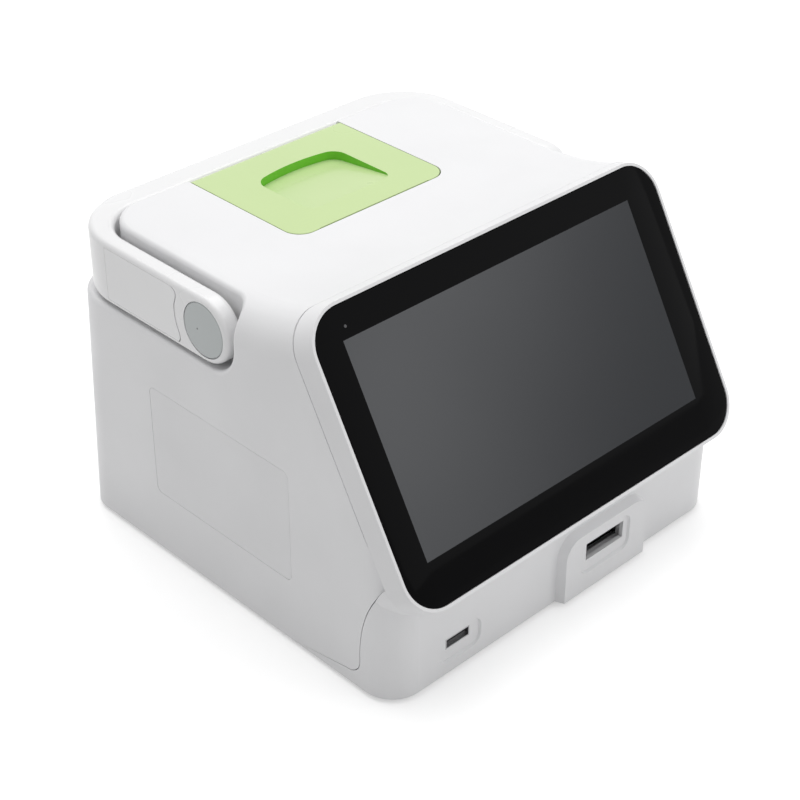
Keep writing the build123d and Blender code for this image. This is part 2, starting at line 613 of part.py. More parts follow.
def inlay(side, grow):
    """A flush panel on the flat of one arm; its front end, a soft S, is the only open line."""
    slack = grow / 6
    rear = REAR_Y - HANDLE_CORNER_R - 0.2 + slack
    half = ARM_END_R - HANDLE_EDGE_R + slack
    wave = [(INLAY_FRONT_Y - grow + bow, PIVOT_Z + share * half) for share, bow in INLAY_WAVE]
    high, low = wave[0], wave[-1]
    edges = [Spline(*wave), Line(low, (rear, low[1])), Line((rear, low[1]), (rear, high[1])),
             Line((rear, high[1]), high)]
    face = make_face([Plane.YZ * edge for edge in edges])
    depth = INLAY_T + slack
    panel = extrude(face, depth)
    return Pos(HANDLE_HALF_W - depth, 0, 0) * panel if side > 0 else Pos(-HANDLE_HALF_W, 0, 0) * panel


def handle_inlays():
    """The flush panels of both arms."""
    return group(inlay(side, -INLAY_GAP / 2) for side in (-1, 1))


def pivot_caps():
    """Round covers over the pivots."""
    pieces = []
    for side in (-1, 1):
        x0, x1 = sorted((side * HANDLE_HALF_W, side * (HANDLE_HALF_W - CAP_T)))
        cap = rod_x(x0, x1, PIVOT_Y, PIVOT_Z, CAP_R)
        face = cap.edges().sort_by(Axis.X)[-1 if side > 0 else 0]
        pieces.append(chamfer(face, 0.3))
    return group(pieces)


def pivot_bushes():
    """Hubs that the handle turns on, pressed into its arms and turning in the casing's walls."""
    pieces = []
    for side in (-1, 1):
        x0, x1 = sorted((side * (HANDLE_HALF_W - CAP_T - 0.2), side * (RECESS_HALF_W - WALL - 1.5)))
        hub = rod_x(x0, x1, PIVOT_Y, PIVOT_Z, BUSH_R)
        pieces.append(hub - rod_x(x0 - 1, x1 + 1, PIVOT_Y, PIVOT_Z, PILOT_R))
    return group(pieces)


def pivot_washers():
    """Friction washers between the arms and the casing."""
    pieces = []
    for side in (-1, 1):
        x0, x1 = sorted((side * (ARM_IN_X - 0.1), side * (RECESS_HALF_W + 0.1)))
        ring = rod_x(x0, x1, PIVOT_Y, PIVOT_Z, BUSH_R + 4)
        pieces.append(ring - rod_x(x0 - 1, x1 + 1, PIVOT_Y, PIVOT_Z, BUSH_R + 0.1))
    return group(pieces)


def pivot_screws():
    """Screws with wide heads that hold the hubs from inside."""
    pieces = []
    for side in (-1, 1):
        x = side * (RECESS_HALF_W - WALL - 1.5)
        turn = Rot(0, 90 * side, 0)
        pieces.append(Pos(x, PIVOT_Y, PIVOT_Z) * turn * screw(SCREW_R, 10, BUSH_R + 2.5, 1.6))
    return group(pieces)


# ---- printer lid ---------------------------------------------------------------------------------
def lid_pocket(grow):
    """Finger scoop: deepest at its bowed rear wall, running out to the front."""
    half = POCKET_W / 2 + grow
    front, rear = POCKET_FRONT_Y - grow, POCKET_REAR_Y + grow
    edges = [Line((-half, front), (-half, rear - POCKET_BOW)),
             ThreePointArc((-half, rear - POCKET_BOW), (0, rear), (half, rear - POCKET_BOW)),
             Line((half, rear - POCKET_BOW), (half, front)), Line((half, front), (-half, front))]
    plan = make_face(edges)
    plan = fillet(plan.vertices().group_by(Axis.Y)[-1], POCKET_REAR_R + grow)
    plan = fillet(plan.vertices().group_by(Axis.Y)[0], POCKET_FRONT_R + grow)
    column = Pos(0, 0, TOP_Z - 20) * extrude(plan, 30)
    deep = TOP_Z - POCKET_D - grow
    wedge = side_prism([(front - 2, TOP_Z - 0.3 - grow), (rear - 8, deep), (rear + 10, deep),
                        (rear + 10, TOP_Z + 5), (front - 2, TOP_Z + 5)], -BIG / 2, BIG / 2)
    return column & wedge


def printer_lid():
    """Green lid with its finger scoop, paper slit and hinge barrel."""
    lid_rear = PIN_Y
    plate = Pos(0, (LID_FRONT_Y + lid_rear) / 2) * Rectangle(LID_W, lid_rear - LID_FRONT_Y)
    plate = fillet(plate.vertices().group_by(Axis.Y)[0], LID_CORNER_R)
    lid = Pos(0, 0, TOP_Z - LID_T) * extrude(plate, LID_T)
    lid += rod_x(-LID_W / 2, LID_W / 2, PIN_Y, PIN_Z, LID_BARREL_R)
    tub = lid_pocket(1.6) & box(-BIG, BIG, -BIG, BIG, 0, TOP_Z - LID_T + 0.5)
    lid = (lid + tub) - lid_pocket(0)
    lid -= box(-SLIT_W / 2, SLIT_W / 2, 0, LID_FRONT_Y + SLIT_D, 0, BIG)
    lid -= rod_x(-BIG / 2, BIG / 2, PIN_Y, PIN_Z, PIN_R + RUN)
    return TO_PRINTER * lid


def lid_hinge_pin():
    """Steel pin of the lid, held in the casing's lugs."""
    reach = LID_W / 2 + LID_GAP + LUG_T - 1.0
    return TO_PRINTER * rod_x(-reach, reach, PIN_Y, PIN_Z, PIN_R)


def tear_bar():
    """Toothed strip under the paper slit's front lip."""
    front, top = LID_FRONT_Y - LID_GAP - TEAR_BAR_T - 0.15, TOP_Z - 2.2
    bar = box(-SLIT_W / 2 + 0.2, SLIT_W / 2 - 0.2, front, front + TEAR_BAR_T, ROOF_Z - 1, top)
    count = int((SLIT_W - 2) / 2)
    for i in range(count):
        x = -SLIT_W / 2 + 1 + (i + 0.5) * (SLIT_W - 2) / count
        bar += Pos(x, front + TEAR_BAR_T / 2, top) * Rot(0, 45, 0) * Box(0.8, TEAR_BAR_T, 0.8)
    return TO_PRINTER * bar


# ---- printer -------------------------------------------------------------------------------------
GEAR_X0 = CHEEK_X + CHEEK_T + 1.0
GEAR_X1 = GEAR_X0 + GEAR_T


def next_axis(y, z, direction, teeth, next_teeth):
    """Axis of a gear that meshes with the one at (y, z)."""
    distance = GEAR_MODULE * (teeth + next_teeth) / 2 + 0.05
    return y + distance * cos(radians(direction)), z + distance * sin(radians(direction))


IDLER_Y, IDLER_Z = next_axis(PLATEN_Y, PLATEN_Z, IDLER_DIRECTION, PLATEN_TEETH, IDLER_TEETH)
PINION_Y, PINION_Z = next_axis(IDLER_Y, IDLER_Z, PINION_DIRECTION, IDLER_TEETH, PINION_TEETH)
IDLER_PHASE = mesh_phase(IDLER_DIRECTION, PLATEN_TEETH, IDLER_DIRECTION, IDLER_TEETH)
PINION_PHASE = mesh_phase(IDLER_PHASE, IDLER_TEETH, PINION_DIRECTION, PINION_TEETH)
FRAME_BOTTOM_Z = PINION_Z - MOTOR_R - 1
HEAD_REAR_Y = PLATEN_Y - PLATEN_R - FIT
HEAD_T = 3.0
FRAME_FRONT_Y = 5.0
FRAME_WALL = 2.0


def printer_frame():
    """Bent frame: front wall, two cheeks with the bearings, and ears up to the casing."""
    reach = CHEEK_X + CHEEK_T
    frame = box(-reach, reach, FRAME_FRONT_Y, FRAME_FRONT_Y + FRAME_WALL, FRAME_BOTTOM_Z, PRINTER_EAR_Z)
    for side in (-1, 1):
        x0, x1 = sorted((side * CHEEK_X, side * reach))
        frame += box(x0, x1, FRAME_FRONT_Y, PLATEN_Y + 6, FRAME_BOTTOM_Z, PLATEN_Z + 5)
        x0, x1 = sorted((side * (reach - 0.1), side * (PRINTER_SCREWS[-1][0] + 4)))
        if side > 0:
            x0 = GEAR_X1 + 1.0
        ear = box(x0, x1, FRAME_FRONT_Y, 13.0, PRINTER_EAR_Z - FRAME_WALL, PRINTER_EAR_Z)
        frame += ear
    frame += box(reach - 0.1, GEAR_X1 + 1.1, FRAME_FRONT_Y, FRAME_FRONT_Y + FRAME_WALL,
                 PRINTER_EAR_Z - 12, PRINTER_EAR_Z)
    for x, y in PRINTER_SCREWS:
        frame -= rod_z(x, y, PRINTER_EAR_Z - 3, PRINTER_EAR_Z + 1, SCREW_R + 0.2)
    frame -= rod_x(-reach - 1, reach + 1, PLATEN_Y, PLATEN_Z, PLATEN_SHAFT_R + RUN)
    frame -= rod_x(CHEEK_X - 1, reach + 1, IDLER_Y, IDLER_Z, PIN_R)
    return TO_PRINTER * (frame - rod_x(CHEEK_X - 1, reach + 1, PINION_Y, PINION_Z, MOTOR_SHAFT_R + 0.5))


def print_head():
    """Heat sink with its ceramic strip, facing the platen."""
    sink = box(-PLATEN_W / 2 + 1, PLATEN_W / 2 - 1, HEAD_REAR_Y - HEAD_T, HEAD_REAR_Y - 0.6, PLATEN_Z - 9,
               PLATEN_Z + 7)
    strip = box(-PLATEN_W / 2 + 2, PLATEN_W / 2 - 2, HEAD_REAR_Y - 0.7, HEAD_REAR_Y, PLATEN_Z - 4,
                PLATEN_Z + 5)
    return TO_PRINTER * (sink + strip)


def head_spring():
    """Bowed leaf spring that presses the head against the platen."""
    near, far = FRAME_FRONT_Y + FRAME_WALL + 0.1, HEAD_REAR_Y - HEAD_T - 0.1
    half, leaf = 18.0, 0.5
    edges = [ThreePointArc((-half, near), (0, far - leaf), (half, near)),
             Line((half, near), (half, near + leaf)),
             ThreePointArc((half, near + leaf), (0, far), (-half, near + leaf)),
             Line((-half, near + leaf), (-half, near))]
    return TO_PRINTER * Pos(0, 0, PLATEN_Z - 3) * extrude(make_face(edges), 6)


def platen_roller():
    """Rubber roller."""
    roller = rod_x(-PLATEN_W / 2, PLATEN_W / 2, PLATEN_Y, PLATEN_Z, PLATEN_R)
    return TO_PRINTER * (roller - rod_x(-PLATEN_W, PLATEN_W, PLATEN_Y, PLATEN_Z, PLATEN_SHAFT_R))


def platen_shaft():
    """Steel shaft of the roller, through both cheeks."""
    return TO_PRINTER * rod_x(-CHEEK_X - CHEEK_T - 1.5, GEAR_X1 + 0.6, PLATEN_Y, PLATEN_Z, PLATEN_SHAFT_R)


def platen_gear():
    """Gear on the roller's shaft."""
    return TO_PRINTER * gear_x(GEAR_MODULE, PLATEN_TEETH, IDLER_DIRECTION, GEAR_X0, GEAR_X1, PLATEN_Y,
                               PLATEN_Z, PLATEN_SHAFT_R)


def idler_gear():
    """Gear between the motor and the roller."""
    return TO_PRINTER * gear_x(GEAR_MODULE, IDLER_TEETH, IDLER_PHASE, GEAR_X0, GEAR_X1, IDLER_Y, IDLER_Z,
                               PIN_R + RUN)


def idler_pin():
    """Fixed pin of the idler, pressed into the cheek."""
    return TO_PRINTER * rod_x(CHEEK_X + 0.2, GEAR_X1 + 1.0, IDLER_Y, IDLER_Z, PIN_R)


def motor_pinion():
    """Pinion of the printer motor, one piece with its shaft."""
    pinion = gear_x(GEAR_MODULE, PINION_TEETH, PINION_PHASE, GEAR_X0, GEAR_X1, PINION_Y, PINION_Z,
                    MOTOR_SHAFT_R / 2)
    return TO_PRINTER * (pinion + rod_x(CHEEK_X - 6, GEAR_X1 + 0.5, PINION_Y, PINION_Z, MOTOR_SHAFT_R))


def printer_motor():
    """Small stepper inside the cheek."""
    can = rod_x(CHEEK_X - MOTOR_L, CHEEK_X, PINION_Y, PINION_Z, MOTOR_R)
    return TO_PRINTER * (can - rod_x(CHEEK_X - 6.5, CHEEK_X + 1, PINION_Y, PINION_Z, MOTOR_SHAFT_R + RUN))


def paper_bucket():
    """Open bin for the roll, hung from the casing by two ears."""
    half = ROLL_W / 2 + 0.75
    y0, y1 = ROLL_Y - ROLL_R - 0.6, ROLL_Y + ROLL_R + 0.6
    z0 = ROLL_Z - ROLL_R - 0.6
    bucket = box(-half - BUCKET_T, half + BUCKET_T, y0 - BUCKET_T, y1 + BUCKET_T, z0 - BUCKET_T,
                 PRINTER_EAR_Z)
    hollow = box(-half, half, y0, y1, ROLL_Z, BIG) + rod_x(-half, half, ROLL_Y, ROLL_Z, ROLL_R + 0.6)
    bucket -= hollow
    ear_y = PRINTER_SCREWS[1][1]
    for side in (-1, 1):
        x0, x1 = sorted((side * (half + 0.5), side * (PRINTER_SCREWS[-1][0] + 4)))
        bucket += box(x0, x1, ear_y - 4, ear_y + 4, PRINTER_EAR_Z - 2, PRINTER_EAR_Z)
    for x, y in PRINTER_SCREWS:
        bucket -= rod_z(x, y, PRINTER_EAR_Z - 3, PRINTER_EAR_Z + 1, SCREW_R + 0.2)
    return TO_PRINTER * bucket


def paper_ring(outer_r, inner_r):
    """A ring as long as the roll, on its axis."""
    ring = rod_x(-ROLL_W / 2, ROLL_W / 2, ROLL_Y, ROLL_Z, outer_r)
    return TO_PRINTER * (ring - rod_x(-ROLL_W, ROLL_W, ROLL_Y, ROLL_Z, inner_r))


def paper_roll():
    """Roll of paper."""
    return paper_ring(ROLL_R, ROLL_CORE_R)


def paper_core():
    """Cardboard tube of the roll."""
    return paper_ring(ROLL_CORE_R, ROLL_CORE_R - 1.2)


def printer_screws():
    """Four screws that hang the printer and the bin from the casing."""
    return [TO_PRINTER * Pos(x, y, PRINTER_EAR_Z - 2) * screw(SCREW_R, 6.5, 2.6, 1.5)
            for x, y in PRINTER_SCREWS]


# ---- cassette reader -----------------------------------------------------------------------------
TRAY_W = SLOT_W - 2 * TRAY_GAP
TRAY_Z0 = SLOT_Z - SLOT_H / 2 + TRAY_GAP
TRAY_Z1 = SLOT_Z + SLOT_H / 2 - TRAY_GAP
TRAY_Y0 = BUMP_FACE_Y + TRAY_RECESS
TRAY_Y1 = TRAY_Y0 + TRAY_LENGTH
CHASSIS_X0, CHASSIS_X1 = SLOT_X - 23.6, SLOT_X + 23.6
CHASSIS_Y0, CHASSIS_Y1 = -78.0, 38.0
CHASSIS_T = 3.0
CARRIAGE_Y0, CARRIAGE_Y1 = -70.0, -32.0
CARRIAGE_HALF = ROD_OFFSET + 4.0
ARCH_Y0, ARCH_Y1 = -64.0, -38.0
ARCH_Z = 50.0
RACK_T = 3.0
RACK_PITCH_X = SLOT_X - TRAY_W / 2 - RACK_T + RACK_MODULE
DRIVE_X = RACK_PITCH_X - RACK_MODULE * DRIVE_TEETH / 2 - 0.05
DRIVE_Y = -18.0
RACK_Z0, RACK_Z1 = TRAY_Z0 + 0.9, TRAY_Z1 - 1.2
BRACKET_Z = TRAY_Z1 + 0.8
READER_MOTOR_L = 14.0


def reader_chassis():
    """Tray-shaped chassis with end walls for the rods, standing on the base."""
    chassis = box(CHASSIS_X0, CHASSIS_X1, CHASSIS_Y0, CHASSIS_Y1, BASE_TOP_Z, BASE_TOP_Z + 2)
    for y0 in (CHASSIS_Y0, CHASSIS_Y1 - CHASSIS_T):
        chassis += box(CHASSIS_X0, CHASSIS_X1, y0, y0 + CHASSIS_T, BASE_TOP_Z, TRAY_Z0 - 0.8)
    for side in (-1, 1):
        chassis -= rod_y(SLOT_X + side * ROD_OFFSET, CHASSIS_Y0 - 1, CHASSIS_Y1 + 1, ROD_Z, ROD_R)
    return chassis


def guide_rods():
    """Two ground rods that the carriage slides on."""
    return group(rod_y(SLOT_X + side * ROD_OFFSET, CHASSIS_Y0, CHASSIS_Y1, ROD_Z, ROD_R) for side in (-1, 1))


def bush_places():
    """Centre lines and spans of the four carriage bushes."""
    length = 7.0
    return [(SLOT_X + side * ROD_OFFSET, y0, y0 + length) for side in (-1, 1)
            for y0 in (CARRIAGE_Y0, CARRIAGE_Y1 - length)]


def carriage_bushes():
    """Bronze bushes in the carriage."""
    return group(rod_y(x, y0, y1, ROD_Z, ROD_R + 1.4) - rod_y(x, y0 - 1, y1 + 1, ROD_Z, ROD_R + RUN)
                 for x, y0, y1 in bush_places())


def cassette_carriage():
    """Tray for the test cassette on a sliding plate."""
    plate = box(SLOT_X - CARRIAGE_HALF, SLOT_X + CARRIAGE_HALF, CARRIAGE_Y0, CARRIAGE_Y1, ROD_Z - 2.9,
                TRAY_Z0 + 0.5)
    tray = box(SLOT_X - TRAY_W / 2, SLOT_X + TRAY_W / 2, TRAY_Y0, TRAY_Y1, TRAY_Z0, TRAY_Z1)
    tray -= box(SLOT_X - TRAY_W / 2 + 1.5, SLOT_X + TRAY_W / 2 - 1.5, TRAY_Y0 - 1, TRAY_Y1 - 3, TRAY_Z0 + 1.6,
                TRAY_Z1 + 1)
    carriage = plate + tray
    for x, y0, y1 in bush_places():
        carriage -= rod_y(x, y0 - 0.01, y1 + 0.01, ROD_Z, ROD_R + 1.4)
        carriage -= rod_y(x, CARRIAGE_Y0 - 1, CARRIAGE_Y1 + 1, ROD_Z, ROD_R + 0.6)
    return carriage


def carriage_rack():
    """Rack on the tray's side; its teeth mesh with the drive pinion."""
    pitch = pi * RACK_MODULE
    root_x = RACK_PITCH_X + 1.25 * RACK_MODULE
    tip_x = RACK_PITCH_X - 0.8 * RACK_MODULE
    back_x = SLOT_X - TRAY_W / 2
    bar = box(root_x, back_x, CARRIAGE_Y0, TRAY_Y1, RACK_Z0, RACK_Z1)
    half_root = pitch / 4 - 0.1 * RACK_MODULE + 1.25 * RACK_MODULE * tan(radians(20))
    half_tip = pitch / 4 - 0.1 * RACK_MODULE - 0.8 * RACK_MODULE * tan(radians(20))
    first = int((CARRIAGE_Y0 - DRIVE_Y) / pitch) + 1
    last = int((TRAY_Y1 - DRIVE_Y) / pitch) - 1
    for i in range(first, last + 1):
        y = DRIVE_Y + (i + 0.5) * pitch
        tooth = make_face(Polyline((root_x + 0.1, y - half_root), (tip_x, y - half_tip), (tip_x, y + half_tip),
                                   (root_x + 0.1, y + half_root), close=True))
        bar += Pos(0, 0, RACK_Z0) * extrude(tooth, RACK_Z1 - RACK_Z0)
    return bar


def drive_pinion():
    """Pinion of the carriage drive, one piece with its shaft; one tooth points at the rack."""
    wheel = extrude(gear_sketch(RACK_MODULE, DRIVE_TEETH, 0), RACK_Z1 - RACK_Z0)
    pinion = Pos(DRIVE_X, DRIVE_Y, RACK_Z0) * wheel
    return pinion + rod_z(DRIVE_X, DRIVE_Y, RACK_Z0 - 0.3, BRACKET_Z + 1.5 + 6, MOTOR_SHAFT_R)


def drive_motor():
    """Stepper of the carriage, standing on its bracket."""
    can = rod_z(DRIVE_X, DRIVE_Y, BRACKET_Z + 1.5, BRACKET_Z + 1.5 + READER_MOTOR_L, MOTOR_R)
    return can - rod_z(DRIVE_X, DRIVE_Y, BRACKET_Z, BRACKET_Z + 1.5 + 6.5, MOTOR_SHAFT_R + RUN)


def motor_bracket():
    """Angle bracket of the carriage motor, standing on the base."""
    x0 = DRIVE_X - MOTOR_R - 2
    plate = box(x0, DRIVE_X + MOTOR_R, DRIVE_Y - MOTOR_R, DRIVE_Y + MOTOR_R, BRACKET_Z, BRACKET_Z + 1.5)
    plate += box(x0, x0 + 1.5, DRIVE_Y - MOTOR_R, DRIVE_Y + MOTOR_R, BASE_TOP_Z, BRACKET_Z + 1.5)
    return plate - rod_z(DRIVE_X, DRIVE_Y, BRACKET_Z - 1, BRACKET_Z + 2, MOTOR_SHAFT_R + 0.5)


def optics_arch():
    """Arch over the tray that carries the optical head."""
    arch = box(CHASSIS_X0, CHASSIS_X1, ARCH_Y0, ARCH_Y1, BASE_TOP_Z + 2, ARCH_Z + 3)
    return arch - box(CHASSIS_X0 + 2.8, CHASSIS_X1 - 2.8, ARCH_Y0 - 1, ARCH_Y1 + 1, BASE_TOP_Z, ARCH_Z)


HEAD_HALF = 12.0
HEAD_Z0 = TRAY_Z1 + 4.0
LENS_R = 5.0


def optical_head():
    """Dark block with the light path, hung under the arch."""
    y0, y1 = ARCH_Y0 + 2, ARCH_Y1 - 2
    head = box(SLOT_X - HEAD_HALF, SLOT_X + HEAD_HALF, y0, y1, HEAD_Z0, ARCH_Z)
    head += rod_z(SLOT_X, (y0 + y1) / 2, HEAD_Z0 - 2, HEAD_Z0 + 1, LENS_R + 1.5)
    return head - rod_z(SLOT_X, (y0 + y1) / 2, HEAD_Z0 - 3, HEAD_Z0 + 12, LENS_R)


def objective_lens():
    """Lens in the barrel of the head."""
    middle = (ARCH_Y0 + ARCH_Y1) / 2
    return rod_z(SLOT_X, middle, HEAD_Z0 - 1.5, HEAD_Z0 + 1, LENS_R)


def light_board():
    """Light source on the left of the head."""
    x1 = SLOT_X - HEAD_HALF
    board = box(x1 - 1.6, x1, ARCH_Y0 + 4, ARCH_Y1 - 4, HEAD_Z0 + 1, ARCH_Z - 2)
    return board + box(x1 - 4, x1 - 1.5, ARCH_Y0 + 9, ARCH_Y1 - 9, HEAD_Z0 + 8, HEAD_Z0 + 14)


def detector_board():
    """Detector on the right of the head."""
    x0 = SLOT_X + HEAD_HALF
    board = box(x0, x0 + 1.6, ARCH_Y0 + 4, ARCH_Y1 - 4, HEAD_Z0 + 1, ARCH_Z - 2)
    return board + box(x0 + 1.5, x0 + 3.2, ARCH_Y0 + 9, ARCH_Y1 - 9, HEAD_Z0 + 6, HEAD_Z0 + 12)


# ---- electronics ---------------------------------------------------------------------------------
BOARD_T = 1.6
PORT_SHELL_H = 5.6
BOARD_Z = PORT_Z - PORT_SHELL_H / 2 - BOARD_T
BOARD_X0 = -HALF_W + BOARD_INSET_X
BOARD_X1 = BOARD_X0 + 60.0
BOARD_Y0, BOARD_Y1 = -74.0, 20.0
BOARD_PARTS = ((14, 44, 18, 18, 2.2), (38, 40, 10, 14, 1.4), (38, 60, 10, 14, 1.4), (10, 76, 24, 6, 6.0),
               (46, 74, 8, 8, 5.0))        # corner on the board, width, depth, height
BOARD_HOLES = [(x, y) for x in (BOARD_X0 + 4, BOARD_X1 - 4) for y in (BOARD_Y0 + 26, BOARD_Y1 - 5)]
PSU_X0 = -HALF_W + PSU_INSET_X
PSU_X1 = PSU_X0 + 40.0
PSU_Y0, PSU_Y1 = 24.0, 76.0
PSU_HOLES = [(x, y) for x in (PSU_X0 + 4, PSU_X1 - 4) for y in (PSU_Y0 + 4, PSU_Y1 - 4)]


def main_board():
    """Controller board with its processor, memory and connectors."""
    top = BOARD_Z + BOARD_T
    board = box(BOARD_X0, BOARD_X1, BOARD_Y0, BOARD_Y1, BOARD_Z, top)
    for x, y in BOARD_HOLES:
        board -= rod_z(x, y, BOARD_Z - 1, top + 1, SCREW_R + 0.2)
    for x, y, width, depth, height in BOARD_PARTS:
        x0, y0 = BOARD_X0 + x, BOARD_Y0 + y
        board += box(x0, x0 + width, y0, y0 + depth, top - 0.1, top + height)
    return board


def board_standoffs():
    """Spacers under the controller and the power supply."""
    pieces = [rod_z(x, y, BASE_TOP_Z, BOARD_Z, 3.0) - rod_z(x, y, 0, BIG, PILOT_R) for x, y in BOARD_HOLES]
    pieces += [rod_z(x, y, BASE_TOP_Z, BOARD_Z, 3.0) - rod_z(x, y, 0, BIG, PILOT_R) for x, y in PSU_HOLES]
    return group(pieces)


def board_screws():
    """Screws through both boards into the spacers."""
    flip = Rot(180, 0, 0)
    return [Pos(x, y, BOARD_Z + BOARD_T) * flip * screw(SCREW_R, 4.5, 2.6, 1.6)
            for x, y in BOARD_HOLES + PSU_HOLES]


def inner_screws():
    """All screws inside: display, printer and boards."""
    return group(display_screws() + printer_screws() + board_screws())


def power_supply():
    """Open power supply with its transformer, coil and capacitors."""
    top = BOARD_Z + BOARD_T
    unit = box(PSU_X0, PSU_X1, PSU_Y0, PSU_Y1, BOARD_Z, top)
    for x, y in PSU_HOLES:
        unit -= rod_z(x, y, BOARD_Z - 1, top + 1, SCREW_R + 0.2)
    unit += box(PSU_X0 + 10, PSU_X0 + 32, PSU_Y0 + 16, PSU_Y0 + 34, top - 0.1, top + 18)
    unit += rod_z(PSU_X0 + 12, PSU_Y1 - 9, top - 0.1, top + 20, 5.0)
    unit += rod_z(PSU_X0 + 28, PSU_Y1 - 9, top - 0.1, top + 20, 5.0)
    return unit + box(PSU_X0 + 12, PSU_X1 - 12, PSU_Y0 + 2, PSU_Y0 + 12, top - 0.1, top + 12)


SHELL_SKIN = 0.4
SHELL_INSET = 1.0             # the socket's face behind the fascia's
SHELL_DEPTH = 15.0


def front_port_shell():
    """Metal shell of the front socket, standing on the controller board."""
    y0 = FASCIA_Y + SHELL_INSET
    y1 = y0 + SHELL_DEPTH
    half, low, high = PORT_W / 2 - 0.1, PORT_Z - PORT_H / 2 + 0.1, PORT_Z + PORT_H / 2 - 0.1
    shell = box(PORT_X - half, PORT_X + half, y0, y1, low, high)
    shell -= box(PORT_X - half + SHELL_SKIN, PORT_X + half - SHELL_SKIN, y0 - 1, y1 - SHELL_SKIN,
                 low + SHELL_SKIN, high - SHELL_SKIN)
    shell += box(PORT_X - half, PORT_X + half, BOARD_Y0 - 1, y1, BOARD_Z + BOARD_T, low)
    return shell + box(PORT_X - half, PORT_X + half, y1 - 0.1, y1 + 5.5, BOARD_Z + BOARD_T, high)


def front_port_tongue():
    """Contact tongue of the front socket."""
    y0 = FASCIA_Y + SHELL_INSET
    low = PORT_Z - PORT_H / 2 + 0.1 + SHELL_SKIN
    half = PORT_W / 2 - 1.0
    return box(PORT_X - half, PORT_X + half, y0 + 1.2, y0 + SHELL_DEPTH - SHELL_SKIN, low, low + 1.7)


def speaker():
    """Small speaker over the holes in the base."""
    can = rod_z(SPEAKER_X, SPEAKER_Y, BASE_TOP_Z, BASE_TOP_Z + SPEAKER_H, SPEAKER_R)
    return can - rod_z(SPEAKER_X, SPEAKER_Y, BASE_TOP_Z - 1, BASE_TOP_Z + 1.5, SPEAKER_R - 2)


# ---- rear sockets --------------------------------------------------------------------------------
SOCKET_Z = 32.0
PANEL_FACE_Y = REAR_Y - REAR_POCKET_D
INLET_X, INLET_W, INLET_H = -58.0, 27.0, 20.0
SWITCH_X, SWITCH_W, SWITCH_H = -28.0, 12.9, 19.4
NETWORK_X, NETWORK_W, NETWORK_H = -5.0, 16.2, 14.0
REAR_USB_X, REAR_USB_W, REAR_USB_H = 14.0, 13.4, 6.0
ROCKER_TILT = 9.0


def panel_box(x, z, width, height, y0, y1):
    """A block centred on a socket, from y0 to y1."""
    return box(x - width / 2, x + width / 2, y0, y1, z - height / 2, z + height / 2)


def usb_heights():
    """Middle heights of the two rear data sockets."""
    return [SOCKET_Z - 5.5, SOCKET_Z + 5.5]


def rear_openings():
    """Cut-outs of the rear wall."""
    y0, y1 = PANEL_FACE_Y - 2 * WALL, PANEL_FACE_Y + 1
    cuts = [panel_box(INLET_X, SOCKET_Z, INLET_W + 0.4, INLET_H + 0.4, y0, y1),
            panel_box(SWITCH_X, SOCKET_Z, SWITCH_W + 0.4, SWITCH_H + 0.4, y0, y1),
            panel_box(NETWORK_X, SOCKET_Z, NETWORK_W + 0.4, NETWORK_H + 0.4, y0, y1)]
    return cuts + [panel_box(REAR_USB_X, z, REAR_USB_W + 0.4, REAR_USB_H + 0.4, y0, y1)
                   for z in usb_heights()]


def power_inlet():
    """Mains inlet with its flange and pin cavity."""
    body = panel_box(INLET_X, SOCKET_Z, INLET_W, INLET_H, PANEL_FACE_Y - 18, PANEL_FACE_Y)
    body += panel_box(INLET_X, SOCKET_Z, INLET_W + 4, INLET_H + 3.5, PANEL_FACE_Y, PANEL_FACE_Y + 2)
    cavity = panel_box(INLET_X, SOCKET_Z, 24.2, 16.6, PANEL_FACE_Y - 14, PANEL_FACE_Y + 3)
    return body - chamfer(cavity.edges().filter_by(Axis.Y).group_by(Axis.Z)[-1], 4.0)


def inlet_pins():
    """Three flat pins of the inlet."""
    places = ((-7.0, -1.5), (0.0, 2.5), (7.0, -1.5))
    return group(panel_box(INLET_X + dx, SOCKET_Z + dz, 2.0, 4.0, PANEL_FACE_Y - 14, PANEL_FACE_Y - 3)
                 for dx, dz in places)


def switch_body():
    """Frame of the mains switch."""
    body = panel_box(SWITCH_X, SOCKET_Z, SWITCH_W, SWITCH_H, PANEL_FACE_Y - 16, PANEL_FACE_Y)
    body += panel_box(SWITCH_X, SOCKET_Z, SWITCH_W + 2.4, SWITCH_H + 2.4, PANEL_FACE_Y, PANEL_FACE_Y + 1.6)
    body -= panel_box(SWITCH_X, SOCKET_Z, SWITCH_W - 2, SWITCH_H - 2, PANEL_FACE_Y - 9, PANEL_FACE_Y + 3)
    return body - rod_x(SWITCH_X - 6, SWITCH_X + 6, PANEL_FACE_Y - 2.5, SOCKET_Z, 1.0 + RUN)


def switch_rocker():
    """Rocker of the mains switch with its pivot stubs, tipped to off."""
    length = SWITCH_H - 5.0
    half_w = SWITCH_W / 2 - 1.4
    pivot_y = PANEL_FACE_Y - 2.5
    face = [(pivot_y - 3, SOCKET_Z - length / 2 + 1), (pivot_y + 3.6, SOCKET_Z - length / 2),
            (pivot_y + 2.4, SOCKET_Z), (pivot_y + 3.6, SOCKET_Z + length / 2),
            (pivot_y - 3, SOCKET_Z + length / 2 - 1)]
    rocker = side_prism(face, SWITCH_X - half_w, SWITCH_X + half_w)
    rocker += rod_x(SWITCH_X - 5.8, SWITCH_X + 5.8, pivot_y, SOCKET_Z, 1.0)
    return rocker.rotate(Axis((0, pivot_y, SOCKET_Z), (1, 0, 0)), -ROCKER_TILT)


